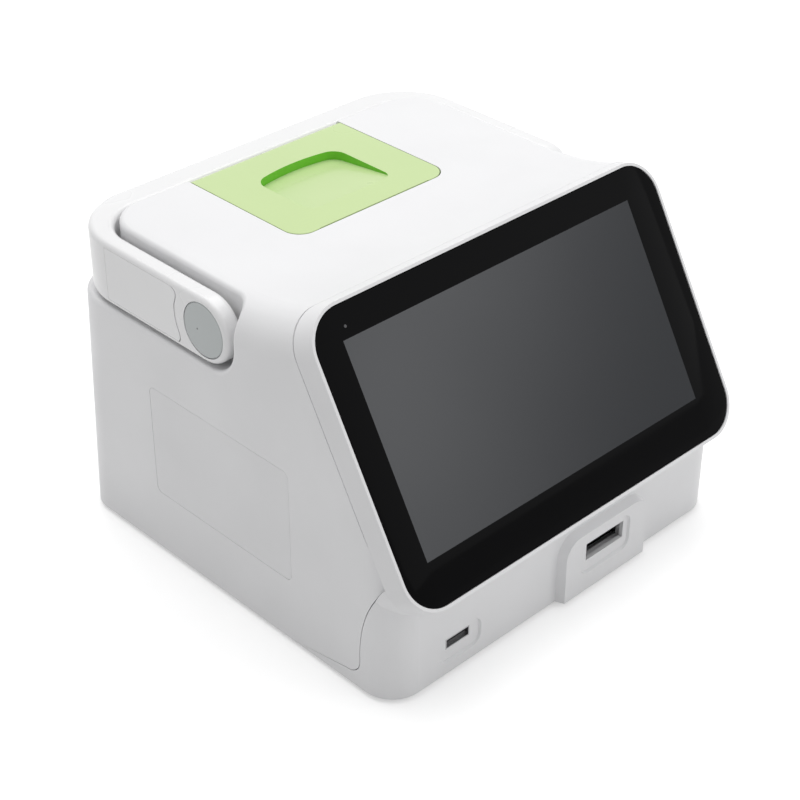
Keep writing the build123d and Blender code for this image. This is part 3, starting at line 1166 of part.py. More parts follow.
def network_port():
    """Network socket."""
    body = panel_box(NETWORK_X, SOCKET_Z, NETWORK_W, NETWORK_H, PANEL_FACE_Y - 18, PANEL_FACE_Y + 0.2)
    body -= panel_box(NETWORK_X, SOCKET_Z + 0.8, 11.8, 8.4, PANEL_FACE_Y - 13, PANEL_FACE_Y + 1)
    return body - panel_box(NETWORK_X, SOCKET_Z - 4.4, 5.0, 3.0, PANEL_FACE_Y - 13, PANEL_FACE_Y + 1)


def rear_usb_ports():
    """Two sockets one above the other."""
    pieces = []
    for z in usb_heights():
        body = panel_box(REAR_USB_X, z, REAR_USB_W, REAR_USB_H, PANEL_FACE_Y - 14, PANEL_FACE_Y + 0.2)
        body -= panel_box(REAR_USB_X, z, REAR_USB_W - 1, REAR_USB_H - 1, PANEL_FACE_Y - 11, PANEL_FACE_Y + 1)
        pieces.append(body + panel_box(REAR_USB_X, z + 0.9, 11.0, 1.8, PANEL_FACE_Y - 11.1, PANEL_FACE_Y - 1))
    return group(pieces)


def rear_socket_board():
    """Upright board behind the network and data sockets."""
    face = PANEL_FACE_Y - 18
    return box(NETWORK_X - 10, REAR_USB_X + 9, face - BOARD_T, face, BASE_TOP_Z, SOCKET_Z + 12)


def side_label():
    """Plain label in its sunk field on the left side."""
    label = box(-HALF_W + 0.05, -HALF_W + 0.05 + LABEL_T, LABEL_Y0 + FIT / 2, LABEL_Y1 - FIT / 2,
                LABEL_Z0 + FIT / 2, LABEL_Z1 - FIT / 2)
    return fillet(label.edges().filter_by(Axis.X), LABEL_CORNER_R)


PIECES = {
    "main_casing": main_casing, "front_casing": front_casing, "base_plate": base_plate,
    "rubber_feet": rubber_feet, "base_screws": base_screws, "side_label": side_label,
    "cover_glass": cover_glass, "display_panel": display_panel, "display_bracket": display_bracket,
    "inner_screws": inner_screws, "display_driver_board": display_driver_board,
    "carry_handle": carry_handle, "handle_inlays": handle_inlays, "pivot_caps": pivot_caps,
    "pivot_bushes": pivot_bushes,
    "pivot_washers": pivot_washers, "pivot_screws": pivot_screws,
    "printer_lid": printer_lid, "lid_hinge_pin": lid_hinge_pin, "tear_bar": tear_bar,
    "printer_frame": printer_frame, "print_head": print_head, "head_spring": head_spring,
    "platen_roller": platen_roller, "platen_shaft": platen_shaft, "platen_gear": platen_gear,
    "idler_gear": idler_gear, "idler_pin": idler_pin, "motor_pinion": motor_pinion,
    "printer_motor": printer_motor,
    "paper_bucket": paper_bucket, "paper_roll": paper_roll, "paper_core": paper_core,
    "reader_chassis": reader_chassis, "guide_rods": guide_rods, "carriage_bushes": carriage_bushes,
    "cassette_carriage": cassette_carriage, "carriage_rack": carriage_rack, "drive_pinion": drive_pinion,
    "drive_motor": drive_motor, "motor_bracket": motor_bracket,
    "optics_arch": optics_arch, "optical_head": optical_head, "objective_lens": objective_lens,
    "light_board": light_board, "detector_board": detector_board,
    "main_board": main_board, "board_standoffs": board_standoffs,
    "power_supply": power_supply, "front_port_shell": front_port_shell, "front_port_tongue": front_port_tongue,
    "speaker": speaker, "power_inlet": power_inlet, "inlet_pins": inlet_pins, "switch_body": switch_body,
    "switch_rocker": switch_rocker, "network_port": network_port, "rear_usb_ports": rear_usb_ports,
    "rear_socket_board": rear_socket_board,
}

for name, make in PIECES.items():
    export_step(make(), f"parts/{name}.step")
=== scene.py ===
"""Looks of a desktop rapid test reader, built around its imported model.

Metres, +Z up, front towards -Y.  Each operator finishes one piece or one group of like pieces."""
import math

import bmesh
import bpy
from mathutils import Euler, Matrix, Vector


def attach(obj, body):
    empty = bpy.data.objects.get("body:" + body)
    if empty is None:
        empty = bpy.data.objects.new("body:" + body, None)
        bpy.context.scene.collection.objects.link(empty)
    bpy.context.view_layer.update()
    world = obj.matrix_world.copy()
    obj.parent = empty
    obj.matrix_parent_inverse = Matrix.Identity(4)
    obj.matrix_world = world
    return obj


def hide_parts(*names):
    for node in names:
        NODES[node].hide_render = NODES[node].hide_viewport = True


bl_info = {
    "name": "Rapid test reader",
    "version": (1, 0, 0),
    "blender": (4, 5, 0),
    "location": "View3D > Sidebar > Reader",
    "description": "Finishes the casing, display, handle, lid and sockets of a desktop test reader",
    "category": "Object",
}

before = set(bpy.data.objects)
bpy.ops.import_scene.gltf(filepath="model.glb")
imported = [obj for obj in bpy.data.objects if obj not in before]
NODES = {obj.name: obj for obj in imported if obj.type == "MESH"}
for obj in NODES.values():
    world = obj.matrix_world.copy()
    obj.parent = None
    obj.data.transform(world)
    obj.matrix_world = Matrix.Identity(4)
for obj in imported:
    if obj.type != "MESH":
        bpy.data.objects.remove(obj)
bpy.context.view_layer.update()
FINISHES = {}                       # material by name, filled as finishes are made

SENSOR_WIDTH = 36.0                 # of the camera, millimetres
LAMP_TARGET = (0, 0, 0.06)
OVERHEAD_LAMP = ((0.15, 0.35, 1.5), 1.6)        # place and edge
FRONT_LAMP = ((0.9, -1.2, 0.8), 1.2)
SMOOTH_ANGLE = math.radians(30)
NODE_MERGE = 0.000002               # points of a CAD copy closer than this are one
PIECE_MERGE = 0.0000005
NEAR = 1e-6

GLASS_CORNER_STEPS = 14
GLASS_EDGE = 0.00035                # soft edge round the cover glass
SENSOR_HEIGHT = 0.00006
MARK_HEIGHT = 0.00005
SCOOP_MARGIN = 0.0005               # how far outside its sizes the scoop's wall is looked for
SCOOP_FLOOR_MARGIN = 0.0003
SCOOP_WALL_SLOPE = 0.6              # upward part of a face's normal, beyond which it is no wall

BOARD_TOP = 0.01265                 # upper face of the two boards
LOW_PARTS = 0.0025                  # parts up to this height above the board are dark
COIL_Y = 0.0590                     # the supply board's parts in front of this are copper coloured

CONTACT_EDGE = 0.00004              # soft edge of a contact
CONTACT_HALF = 0.0005               # half its width
CONTACT_THIN = 0.00012              # half its thickness in the rear sockets
CONTACT_STEPS = (-0.0035, -0.001, 0.001, 0.0035)     # the four contacts of a data socket
FRONT_CONTACT_LENGTH = 0.0070
REAR_CONTACT = (0.0100, 0.0020)     # how deep its two ends lie inside the rear face
NETWORK_WIRE = (0.0110, 0.0020)     # the same for a network wire
NETWORK_WIRES, NETWORK_PITCH = 8, 0.00102
NETWORK_LOW, NETWORK_HIGH = 0.0043, 0.0047           # the wires' height above the socket's middle
TONGUE_UP = 0.0009                  # a rear tongue's middle, above its shell's middle
TONGUE_HALF_T, TONGUE_HALF_W = 0.00095, 0.0056


# ---- settings ------------------------------------------------------------------------------------
def length(name, description, default):
    """A length in metres."""
    return bpy.props.FloatProperty(name=name, description=description, default=default, subtype="DISTANCE",
                                   unit="LENGTH", precision=5)


def angle(name, description, degrees):
    """An angle, given in degrees."""
    return bpy.props.FloatProperty(name=name, description=description, default=math.radians(degrees),
                                   subtype="ANGLE", unit="ROTATION")


def colour(name, description, default):
    """A colour of three linear channels."""
    return bpy.props.FloatVectorProperty(name=name, description=description, default=default, size=3,
                                         subtype="COLOR", min=0, max=1)


def factor(name, description, default):
    """A number from 0 to 1."""
    return bpy.props.FloatProperty(name=name, description=description, default=default, subtype="FACTOR",
                                   min=0, max=1)


def watts(name, description, default):
    """The power of a lamp."""
    return bpy.props.FloatProperty(name=name, description=description, default=default, unit="POWER")


class StageSettings(bpy.types.PropertyGroup):
    """Camera, floor and light."""
    camera_place: bpy.props.FloatVectorProperty(
        name="Camera place", description="Where the camera stands", size=3, subtype="TRANSLATION",
        unit="LENGTH", default=(-0.44922, -0.45606, 0.47781))
    camera_turn: bpy.props.FloatVectorProperty(
        name="Camera turn", description="How the camera is turned", size=3, subtype="EULER", unit="ROTATION",
        default=(math.radians(56.4736), math.radians(-0.1341), math.radians(-44.1759)))
    lens: bpy.props.FloatProperty(name="Lens", description="Focal length on a 36 mm sensor, in millimetres",
                                  default=83.04, subtype="DISTANCE_CAMERA")
    floor_size: length("Floor size", "Edge of the floor", 3.0)
    floor_colour: colour("Floor colour", "Pale floor", (0.80, 0.80, 0.80))
    floor_lift: factor("Floor lift", "Light that the floor adds for the camera alone", 0.40)
    ambient: factor("Ambient light", "Strength of the room's light", 0.46)
    overhead_power: watts("Overhead lamp", "Power of the soft lamp overhead", 17.0)
    fill_power: watts("Front lamp", "Power of the soft lamp in front", 4.5)


class CasingSettings(bpy.types.PropertyGroup):
    """Casing mouldings, handle and caps."""
    white: colour("Casing white", "Colour of the casing mouldings", (0.82, 0.82, 0.83))
    handle_white: colour("Handle white", "Colour of the carry handle", (0.84, 0.84, 0.845))
    cap_grey: colour("Cap grey", "Colour of the pivot caps", (0.50, 0.53, 0.53))
    roughness: factor("Roughness", "Sheen of the casing: 0 is glossy", 0.42)


class LidSettings(bpy.types.PropertyGroup):
    """Printer lid."""
    green: colour("Lid green", "Colour of the printer lid", (0.55, 0.70, 0.325))
    # painted shade: a darker, deeper green for the finger scoop's walls, which are the lid's own plastic
    # lying in shade
    scoop_painted_shade: colour("Scoop green", "Deeper colour of the finger scoop's walls", (0.155, 0.56, 0.02))
    middle_x: length("Middle X", "Middle of the lid, left to right", -0.00245)
    top: length("Top", "Height of the lid's top", 0.1399)
    scoop_width: length("Scoop width", "Width of the finger scoop", 0.0440)
    scoop_front: length("Scoop front", "Front edge of the finger scoop", 0.0300)
    scoop_rear: length("Scoop rear", "Rear wall of the finger scoop", 0.0663)
    scoop_depth: length("Scoop depth", "Depth of the finger scoop", 0.0038)


class DisplaySettings(bpy.types.PropertyGroup):
    """Touch display."""
    centre_y: length("Centre Y", "Middle of the bezel's front, back to front", -0.0710)
    centre_z: length("Centre Z", "Middle of the bezel's front, height", 0.0988)
    tilt: angle("Tilt", "Display plane from the horizontal", 60.0)
    width: length("Glass width", "Width of the cover glass", 0.1843)
    height: length("Glass height", "Height of the cover glass", 0.1161)
    corner: length("Glass corner", "Corner radius of the cover glass", 0.01465)
    thickness: length("Glass thickness", "Thickness of the cover glass", 0.0018)
    sunk: length("Glass depth", "How far the glass lies below the rim", 0.0002)
    window_width: length("Window width", "Width of the clear window", 0.15408)
    window_height: length("Window height", "Height of the clear window", 0.08592)
    window_x: length("Window X", "Middle of the window, left to right", -0.00245)
    window_up: length("Window up", "Middle of the window, up the slope", 0.0024)
    border: colour("Border", "Printed border behind the glass", (0.0030, 0.0030, 0.0034))
    dark: colour("Window", "Unlit display through the glass", (0.035, 0.037, 0.041))
    # painted reflection: a paler window colour towards the top left, where the glass mirrors the room
    pale: colour("Window far", "The same where it catches the room, top left", (0.125, 0.128, 0.134))
    sensor_x: length("Sensor X", "Light sensor behind the glass, left to right", -0.0764)
    sensor_up: length("Sensor up", "Light sensor behind the glass, up the slope", 0.0498)
    sensor_radius: length("Sensor radius", "Radius of the light sensor's window", 0.0006)


class LabelSettings(bpy.types.PropertyGroup):
    """Plain plate on the left side."""
    paper: colour("Plate", "Colour of the bare plate", (0.80, 0.80, 0.81))


class SocketSettings(bpy.types.PropertyGroup):
    """Contacts of the sockets, and the marks on the pivot caps with their painted shade."""
    front_x: length("Front socket X", "Middle of the front data socket, left to right", -0.0601)
    front_y: length("Front socket Y", "Front ends of its contacts", -0.0860)
    front_z: length("Front socket Z", "Upper face of its tongue", 0.01515)
    rear_y: length("Rear sockets Y", "Face of the rear sockets' field", 0.0977)
    rear_z: length("Rear sockets Z", "Middle height of the rear sockets", 0.0320)
    usb_x: length("Rear data socket X", "Middle of the rear data sockets, left to right", 0.0140)
    usb_gap: length("Rear data socket gap", "From the middle height to each data socket", 0.0055)
    network_x: length("Network socket X", "Middle of the network socket, left to right", -0.0050)
    cap_x: length("Cap X", "Outer face of the pivot caps, from the middle", 0.0955)
    # the mould mark is a small dimple; its dark dot is painted shade, a low dark dome in place of the
    # dimple's shade
    mark_y: length("Mark Y", "Mould mark on a cap, back to front", 0.0145)
    mark_z: length("Mark Z", "Mould mark on a cap, height", 0.1224)
    mark_radius: length("Mark radius", "Radius of the mould mark", 0.0004)


# ---- finishes ------------------------------------------------------------------------------------
def shader_node(tree, kind, place, **values):
    """Add one shader node; keywords set its properties, or its sockets by their names with underscores."""
    made = tree.nodes.new(kind)
    made.location = place
    for key, value in values.items():
        if hasattr(made, key):
            setattr(made, key, value)
        else:
            made.inputs[key.replace("_", " ")].default_value = value
    return made


class Finish:
    """A material under way: its tree, its shader and its coordinates."""

    def __init__(self, name, base, roughness, metallic=0.0, specular=0.5):
        self.material = bpy.data.materials.new(name)
        self.material.use_nodes = True
        self.tree = self.material.node_tree
        self.shader = self.tree.nodes["Principled BSDF"]
        self.roughness = roughness
        self.shader.inputs["Base Color"].default_value = (*base, 1)
        self.shader.inputs["Roughness"].default_value = roughness
        self.shader.inputs["Metallic"].default_value = metallic
        self.shader.inputs["Specular IOR Level"].default_value = specular
        self.coordinates = shader_node(self.tree, "ShaderNodeTexCoord", (-1200, 0))
        self.normal = None
        FINISHES[name] = self.material

    def link(self, source, target):
        """Join two sockets."""
        self.tree.links.new(source, target)

    def pattern(self, kind, scale, stretch=(1, 1, 1), **values):
        """A texture on object coordinates, stretched per axis."""
        mapping = shader_node(self.tree, "ShaderNodeMapping", (-1000, 0))
        mapping.inputs["Scale"].default_value = stretch
        self.link(self.coordinates.outputs["Object"], mapping.inputs["Vector"])
        texture = shader_node(self.tree, kind, (-800, 0), **values)
        texture.inputs["Scale"].default_value = scale
        self.link(mapping.outputs["Vector"], texture.inputs["Vector"])
        return texture

    def spread(self, texture, low, high, start=0.3, end=0.7):
        """Turn a texture's value into a range of numbers."""
        spread = shader_node(self.tree, "ShaderNodeMapRange", (-600, 0))
        for key, value in (("From Min", start), ("From Max", end), ("To Min", low), ("To Max", high)):
            spread.inputs[key].default_value = value
        self.link(texture.outputs[0], spread.inputs["Value"])
        return spread.outputs["Result"]

    def tint(self, texture, other, start=0.3, end=0.7, amount=1.0):
        """Vary the base colour towards another one."""
        mix = shader_node(self.tree, "ShaderNodeMix", (-300, 200), data_type="RGBA")
        self.link(self.spread(texture, 0, amount, start, end), mix.inputs["Factor"])
        earlier = self.shader.inputs["Base Color"]
        if earlier.is_linked:
            self.link(earlier.links[0].from_socket, mix.inputs[6])
        else:
            mix.inputs[6].default_value = earlier.default_value
        mix.inputs[7].default_value = (*other, 1)
        self.link(mix.outputs[2], earlier)
        return self

    def sheen_spread(self, texture, swing):
        """Vary the roughness by plus and minus swing."""
        low, high = max(self.roughness - swing, 0.02), min(self.roughness + swing, 1)
        self.link(self.spread(texture, low, high), self.shader.inputs["Roughness"])
        return self

    def drift(self, direction, low, high, other):
        """Fade the base colour to another one along a direction, from low to high in metres."""
        along = shader_node(self.tree, "ShaderNodeVectorMath", (-800, 500), operation="DOT_PRODUCT")
        along.inputs[1].default_value = direction
        self.link(self.coordinates.outputs["Object"], along.inputs[0])
        spread = shader_node(self.tree, "ShaderNodeMapRange", (-600, 500), interpolation_type="SMOOTHSTEP")
        spread.inputs["From Min"].default_value = low
        spread.inputs["From Max"].default_value = high
        self.link(along.outputs["Value"], spread.inputs["Value"])
        mix = shader_node(self.tree, "ShaderNodeMix", (-300, 500), data_type="RGBA")
        self.link(spread.outputs["Result"], mix.inputs["Factor"])
        mix.inputs[6].default_value = self.shader.inputs["Base Color"].default_value
        mix.inputs[7].default_value = (*other, 1)
        self.link(mix.outputs[2], self.shader.inputs["Base Color"])

    def relief(self, texture, distance, strength):
        """Bump from a texture; distance in metres."""
        bump = shader_node(self.tree, "ShaderNodeBump", (-300, -300), Strength=strength, Distance=distance)
        self.link(texture.outputs[0], bump.inputs["Height"])
        if self.normal:
            self.link(self.normal, bump.inputs["Normal"])
        self.normal = bump.outputs["Normal"]
        self.link(self.normal, self.shader.inputs["Normal"])
        return self


def shade(base, amount):
    """The colour made darker or lighter."""
    return tuple(min(max(channel * amount, 0), 1) for channel in base)


def moulded(name, base, roughness, grain=2200, depth=0.00002, coat=0.0):
    """Moulded plastic: fine grain, broad drift in sheen and colour."""
    finish = Finish(name, base, roughness)
    fine = finish.pattern("ShaderNodeTexNoise", grain, Detail=2.0)
    broad = finish.pattern("ShaderNodeTexNoise", 22, Detail=3.0)
    finish.relief(fine, depth, 0.35).sheen_spread(broad, 0.05)
    finish.tint(broad, shade(base, 0.965))
    finish.shader.inputs["Coat Weight"].default_value = coat
    finish.shader.inputs["Coat Roughness"].default_value = 0.12


def brushed(name, base, roughness, stretch):
    """Drawn or rolled metal with fine lines."""
    finish = Finish(name, base, roughness, metallic=1.0)
    lines = finish.pattern("ShaderNodeTexNoise", 120, stretch, Detail=4.0)
    cloud = finish.pattern("ShaderNodeTexNoise", 60, Detail=2.0)
    finish.relief(lines, 0.00001, 0.5).sheen_spread(cloud, 0.08)
    finish.tint(lines, shade(base, 0.82))


def glass_finishes(display):
    """The glass over its printed border, and over the unlit display, with a painted reflection that lightens
    the window towards the top left.
    """
    border = Finish("glass_border", display.border, 0.07, specular=0.03)
    smears = border.pattern("ShaderNodeTexNoise", 14, (1, 2.2, 1), Detail=5.0)
    border.sheen_spread(smears, 0.035)
    border.relief(border.pattern("ShaderNodeTexNoise", 900), 0.0000006, 0.2)
    window = Finish("glass_window", display.dark, 0.09, specular=0.06)
    # painted reflection: the window fades from the unlit display colour to a paler one towards the top left
    window.drift((-0.78, 0, 0.62), -0.02, 0.16, display.pale)
    cells = window.pattern("ShaderNodeTexNoise", 9, Detail=1.0)
    window.tint(cells, shade(display.dark, 1.12), amount=0.3)
    window.sheen_spread(window.pattern("ShaderNodeTexNoise", 16, (1, 2.2, 1), Detail=5.0), 0.035)


def inner_finishes():
    """Boards, paper, card and lens."""
    board = Finish("board_green", (0.015, 0.10, 0.045), 0.38)
    tracks = board.pattern("ShaderNodeTexBrick", 260, Mortar_Size=0.06)
    board.tint(tracks, (0.03, 0.17, 0.075), 0.0, 1.0, 0.6).relief(tracks, 0.00003, 0.4)
    paper = Finish("paper_white", (0.80, 0.80, 0.78), 0.75, specular=0.25)
    layers = paper.pattern("ShaderNodeTexNoise", 1500, (0.02, 1, 1), Detail=3.0)
    paper.tint(layers, (0.66, 0.66, 0.64)).relief(layers, 0.00004, 0.5)
    paper.sheen_spread(layers, 0.06)
    card = Finish("paper_brown", (0.34, 0.22, 0.12), 0.85, specular=0.2)
    fibres = card.pattern("ShaderNodeTexNoise", 700, (0.3, 1, 1), Detail=6.0)
    card.tint(fibres, (0.46, 0.32, 0.19)).relief(fibres, 0.00005, 0.6)
    lens = Finish("lens_glass", (0.80, 0.86, 0.92), 0.04)
    coating = lens.pattern("ShaderNodeTexNoise", 90, Detail=2.0)
    lens.tint(coating, (0.62, 0.66, 0.86)).sheen_spread(coating, 0.02)
    lens.shader.inputs["Transmission Weight"].default_value = 0.9


def make_finishes(casing, lid, display, label):
    """All materials of the object."""
    moulded("casing_white", casing.white, casing.roughness)
    moulded("handle_white", casing.handle_white, 0.30, 1600, 0.00001, coat=0.25)
    moulded("panel_white", shade(casing.handle_white, 0.99), 0.20, 900, 0.000006, coat=0.4)
    moulded("cap_grey", casing.cap_grey, 0.34, 2600, 0.000012)
    moulded("lid_green", lid.green, 0.30, 1800, 0.00001, coat=0.2)
    # painted shade for the scoop's walls: a shaded copy of the lid green
    moulded("scoop_painted_shade", lid.scoop_painted_shade, 0.38, 1800, 0.00001)
    glass_finishes(display)
    moulded("label_plate", label.paper, 0.40, 1400, 0.000008)
    moulded("sensor_grey", (0.03, 0.03, 0.033), 0.2, 1400, 0.000004)
    # painted shade: dark grey standing in for the shade inside the caps' small dimples
    moulded("cap_dimple_shade", (0.16, 0.17, 0.17), 0.5, 1400, 0.000004)
    moulded("rubber_grey", (0.10, 0.10, 0.105), 0.72, 1500, 0.00003)
    brushed("steel", (0.56, 0.56, 0.57), 0.28, (1, 60, 60))
    brushed("sheet_metal", (0.60, 0.61, 0.62), 0.36, (60, 60, 1))
    brushed("bronze", (0.55, 0.36, 0.16), 0.38, (20, 1, 20))
    brushed("gold", (0.78, 0.56, 0.22), 0.26, (1, 30, 30))
    moulded("plastic_pale", (0.66, 0.65, 0.61), 0.45)
    moulded("plastic_dark", (0.022, 0.022, 0.024), 0.46, 1500, 0.00003)
    moulded("platen_rubber", (0.035, 0.035, 0.038), 0.66, 3000, 0.00002)
    inner_finishes()


def finish_nodes(finish, *names):
    """Give CAD nodes a finish through their own material slots."""
    for name in names:
        for slot in NODES[name].material_slots:
            slot.material = FINISHES[finish]


# ---- modelling helpers ---------------------------------------------------------------------------
def deselect_all():
    """Leave edit mode and clear the selection."""
    if bpy.context.mode != "OBJECT":
        bpy.ops.object.mode_set(mode="OBJECT")
    bpy.ops.object.select_all(action="DESELECT")


def work_on(piece):
    """Make one piece the only one selected, and the active one."""
    deselect_all()
    piece.select_set(True)
    bpy.context.view_layer.objects.active = piece


def copy_node(node, name):
    """A merged copy of a CAD node as a piece of its own."""
    piece = bpy.data.objects.new(name, NODES[node].data.copy())
    bpy.context.scene.collection.objects.link(piece)
    work_on(piece)
    bpy.ops.object.mode_set(mode="EDIT")
    bpy.ops.mesh.select_all(action="SELECT")
    bpy.ops.mesh.remove_doubles(threshold=NODE_MERGE)
    bpy.ops.mesh.customdata_custom_splitnormals_clear()
    bpy.ops.object.mode_set(mode="OBJECT")
    piece.data.materials.clear()
    return piece


def pick_edges(piece, test):
    """In edit mode, select the edges whose two ends pass a test."""
    bpy.ops.mesh.select_all(action="DESELECT")
    bpy.ops.mesh.select_mode(type="EDGE")
    mesh = bmesh.from_edit_mesh(piece.data)
    for edge in mesh.edges:
        edge.select_set(test(edge.verts[0].co, edge.verts[1].co))
    mesh.select_flush_mode()
    bmesh.update_edit_mesh(piece.data)


def settle(piece, finish=None, body=None, replaces=()):
    """Apply the place, give the finish and smooth shading, and seat the piece on its body."""
    work_on(piece)
    bpy.ops.object.transform_apply(location=True, rotation=True, scale=True)
    bpy.ops.object.mode_set(mode="EDIT")
    bpy.ops.mesh.select_all(action="SELECT")
    bpy.ops.mesh.remove_doubles(threshold=PIECE_MERGE)
    bpy.ops.mesh.normals_make_consistent(inside=False)
    bpy.ops.object.mode_set(mode="OBJECT")
    if finish:
        piece.data.materials.append(FINISHES[finish])
    bpy.ops.object.shade_smooth_by_angle(angle=SMOOTH_ANGLE)
    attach(piece, body or "housing")
    if replaces:
        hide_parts(*replaces)


def bars(name, boxes):
    """Several small bars with soft edges as one piece; a box is two corners in metres."""
    made = []
    for (x0, y0, z0), (x1, y1, z1) in boxes:
        deselect_all()
        middle = ((x0 + x1) / 2, (y0 + y1) / 2, (z0 + z1) / 2)
        bpy.ops.mesh.primitive_cube_add(size=1, location=middle)
        bar = bpy.context.object
        bar.scale = (x1 - x0, y1 - y0, z1 - z0)
        bpy.ops.object.transform_apply(location=True, rotation=True, scale=True)
        bpy.ops.object.mode_set(mode="EDIT")
        bpy.ops.mesh.select_all(action="SELECT")
        bpy.ops.mesh.bevel(offset=CONTACT_EDGE, segments=2, affect="EDGES")
        bpy.ops.object.mode_set(mode="OBJECT")
        made.append(bar)
    work_on(made[0])
    for bar in made:
        bar.select_set(True)
    bpy.ops.object.join()
    made[0].name = name
    return made[0]


def low_dome(name, radius, height):
    """A flat dome on the XY plane, grown from a disc."""
    deselect_all()
    bpy.ops.mesh.primitive_circle_add(vertices=24, radius=radius, fill_type="NGON")
    dome = bpy.context.object
    dome.name = name
    bpy.ops.object.mode_set(mode="EDIT")
    bpy.ops.mesh.select_all(action="SELECT")
    bpy.ops.mesh.extrude_region_move(TRANSFORM_OT_translate={"value": (0, 0, height)})
    pick_edges(dome, lambda a, b: a.z > height / 2 and b.z > height / 2)
    bpy.ops.mesh.bevel(offset=height * 0.9, segments=3, affect="EDGES")
    bpy.ops.object.mode_set(mode="OBJECT")
    return dome


def repaint(node, name, finishes, choose, body="housing"):
    """A merged copy of a node that takes the node's place, with a finish chosen per face."""
    piece = copy_node(node, name)
    for finish in finishes:
        piece.data.materials.append(FINISHES[finish])
    for face in piece.data.polygons:
        face.material_index = choose(face.center, face.normal)
    settle(piece, body=body, replaces=(node,))


# ---- stage ---------------------------------------------------------------------------------------
class READER_OT_stage(bpy.types.Operator):
    """Set up the camera, the pale floor and soft light"""
    bl_idname = "reader.stage"
    bl_label = "Stage"

    def execute(self, context):
        settings = context.scene.reader_stage
        deselect_all()
        bpy.ops.object.camera_add(location=settings.camera_place, rotation=settings.camera_turn)
        camera = context.object
        camera.name = "photo_camera"
        camera.data.lens = settings.lens
        camera.data.sensor_width = SENSOR_WIDTH
        context.scene.camera = camera
        self.floor(settings)
        self.lamp("overhead", *OVERHEAD_LAMP, settings.overhead_power)
        self.lamp("front", *FRONT_LAMP, settings.fill_power)
        self.room(settings)
        context.scene.view_settings.view_transform = "Standard"
        return {"FINISHED"}

    def lamp(self, name, place, size, power):
        """A square soft lamp that faces the object."""
        turn = (Vector(LAMP_TARGET) - Vector(place)).to_track_quat("-Z", "Y").to_euler()
        bpy.ops.object.light_add(type="AREA", location=place, rotation=turn)
        lamp = bpy.context.object
        lamp.name = name
        lamp.data.size = size
        lamp.data.energy = power

    def seen(self, tree):
        """1 for rays that show the background itself: camera, mirror and glass rays."""
        path = shader_node(tree, "ShaderNodeLightPath", (-900, 300))
        first = shader_node(tree, "ShaderNodeMath", (-700, 300), operation="MAXIMUM")
        second = shader_node(tree, "ShaderNodeMath", (-500, 300), operation="MAXIMUM")
        tree.links.new(path.outputs["Is Camera Ray"], first.inputs[0])
        tree.links.new(path.outputs["Is Glossy Ray"], first.inputs[1])
        tree.links.new(first.outputs[0], second.inputs[0])
        tree.links.new(path.outputs["Is Transmission Ray"], second.inputs[1])
        return second.outputs[0]

    def floor(self, settings):
        """A pale plane, lifted a little for the camera alone."""
        bpy.ops.mesh.primitive_plane_add(size=settings.floor_size)
        floor = bpy.context.object
        floor.name = "floor"
        material = bpy.data.materials.new("floor_pale")
        material.use_nodes = True
        tree = material.node_tree
        tree.nodes.remove(tree.nodes["Principled BSDF"])
        pale = (*settings.floor_colour, 1)
        matt = shader_node(tree, "ShaderNodeBsdfDiffuse", (-300, 100), Color=pale)
        glow = shader_node(tree, "ShaderNodeEmission", (-300, -100))
        lift = shader_node(tree, "ShaderNodeMath", (-450, -100), operation="MULTIPLY")
        both = shader_node(tree, "ShaderNodeAddShader", (-100, 0))
        tree.links.new(self.seen(tree), lift.inputs[0])
        lift.inputs[1].default_value = settings.floor_lift
        tree.links.new(lift.outputs[0], glow.inputs["Strength"])
        tree.links.new(matt.outputs[0], both.inputs[0])
        tree.links.new(glow.outputs[0], both.inputs[1])
        tree.links.new(both.outputs[0], tree.nodes["Material Output"].inputs["Surface"])
        floor.data.materials.append(material)

    def room(self, settings):
        """Even light all round, in front of white."""
        world = bpy.data.worlds.new("room")
        bpy.context.scene.world = world
        world.use_nodes = True
        tree = world.node_tree
        light = tree.nodes["Background"]
        light.inputs["Color"].default_value = (1, 1, 1, 1)
        light.inputs["Strength"].default_value = settings.ambient
        white = shader_node(tree, "ShaderNodeBackground", (-200, -200), Strength=1.0)
        white.inputs["Color"].default_value = (1, 1, 1, 1)
        either = shader_node(tree, "ShaderNodeMixShader", (0, 0))
        tree.links.new(self.seen(tree), either.inputs["Fac"])
        tree.links.new(light.outputs[0], either.inputs[1])
        tree.links.new(white.outputs[0], either.inputs[2])
        tree.links.new(either.outputs[0], tree.nodes["World Output"].inputs["Surface"])


class READER_OT_finishes(bpy.types.Operator):
    """Make the plastics, glass, metals, rubber and paper"""
    bl_idname = "reader.finishes"
    bl_label = "Finishes"

    def execute(self, context):
        scene = context.scene
        make_finishes(scene.reader_casing, scene.reader_lid, scene.reader_display, scene.reader_label)
        return {"FINISHED"}


# ---- casing --------------------------------------------------------------------------------------
class READER_OT_casing(bpy.types.Operator):
    """Finish the casing mouldings and the base"""
    bl_idname = "reader.casing"
    bl_label = "Casing"

    def execute(self, context):
        finish_nodes("casing_white", "main_casing", "front_casing", "base_plate")
        finish_nodes("rubber_grey", "rubber_feet")
        finish_nodes("steel", "base_screws")
        return {"FINISHED"}


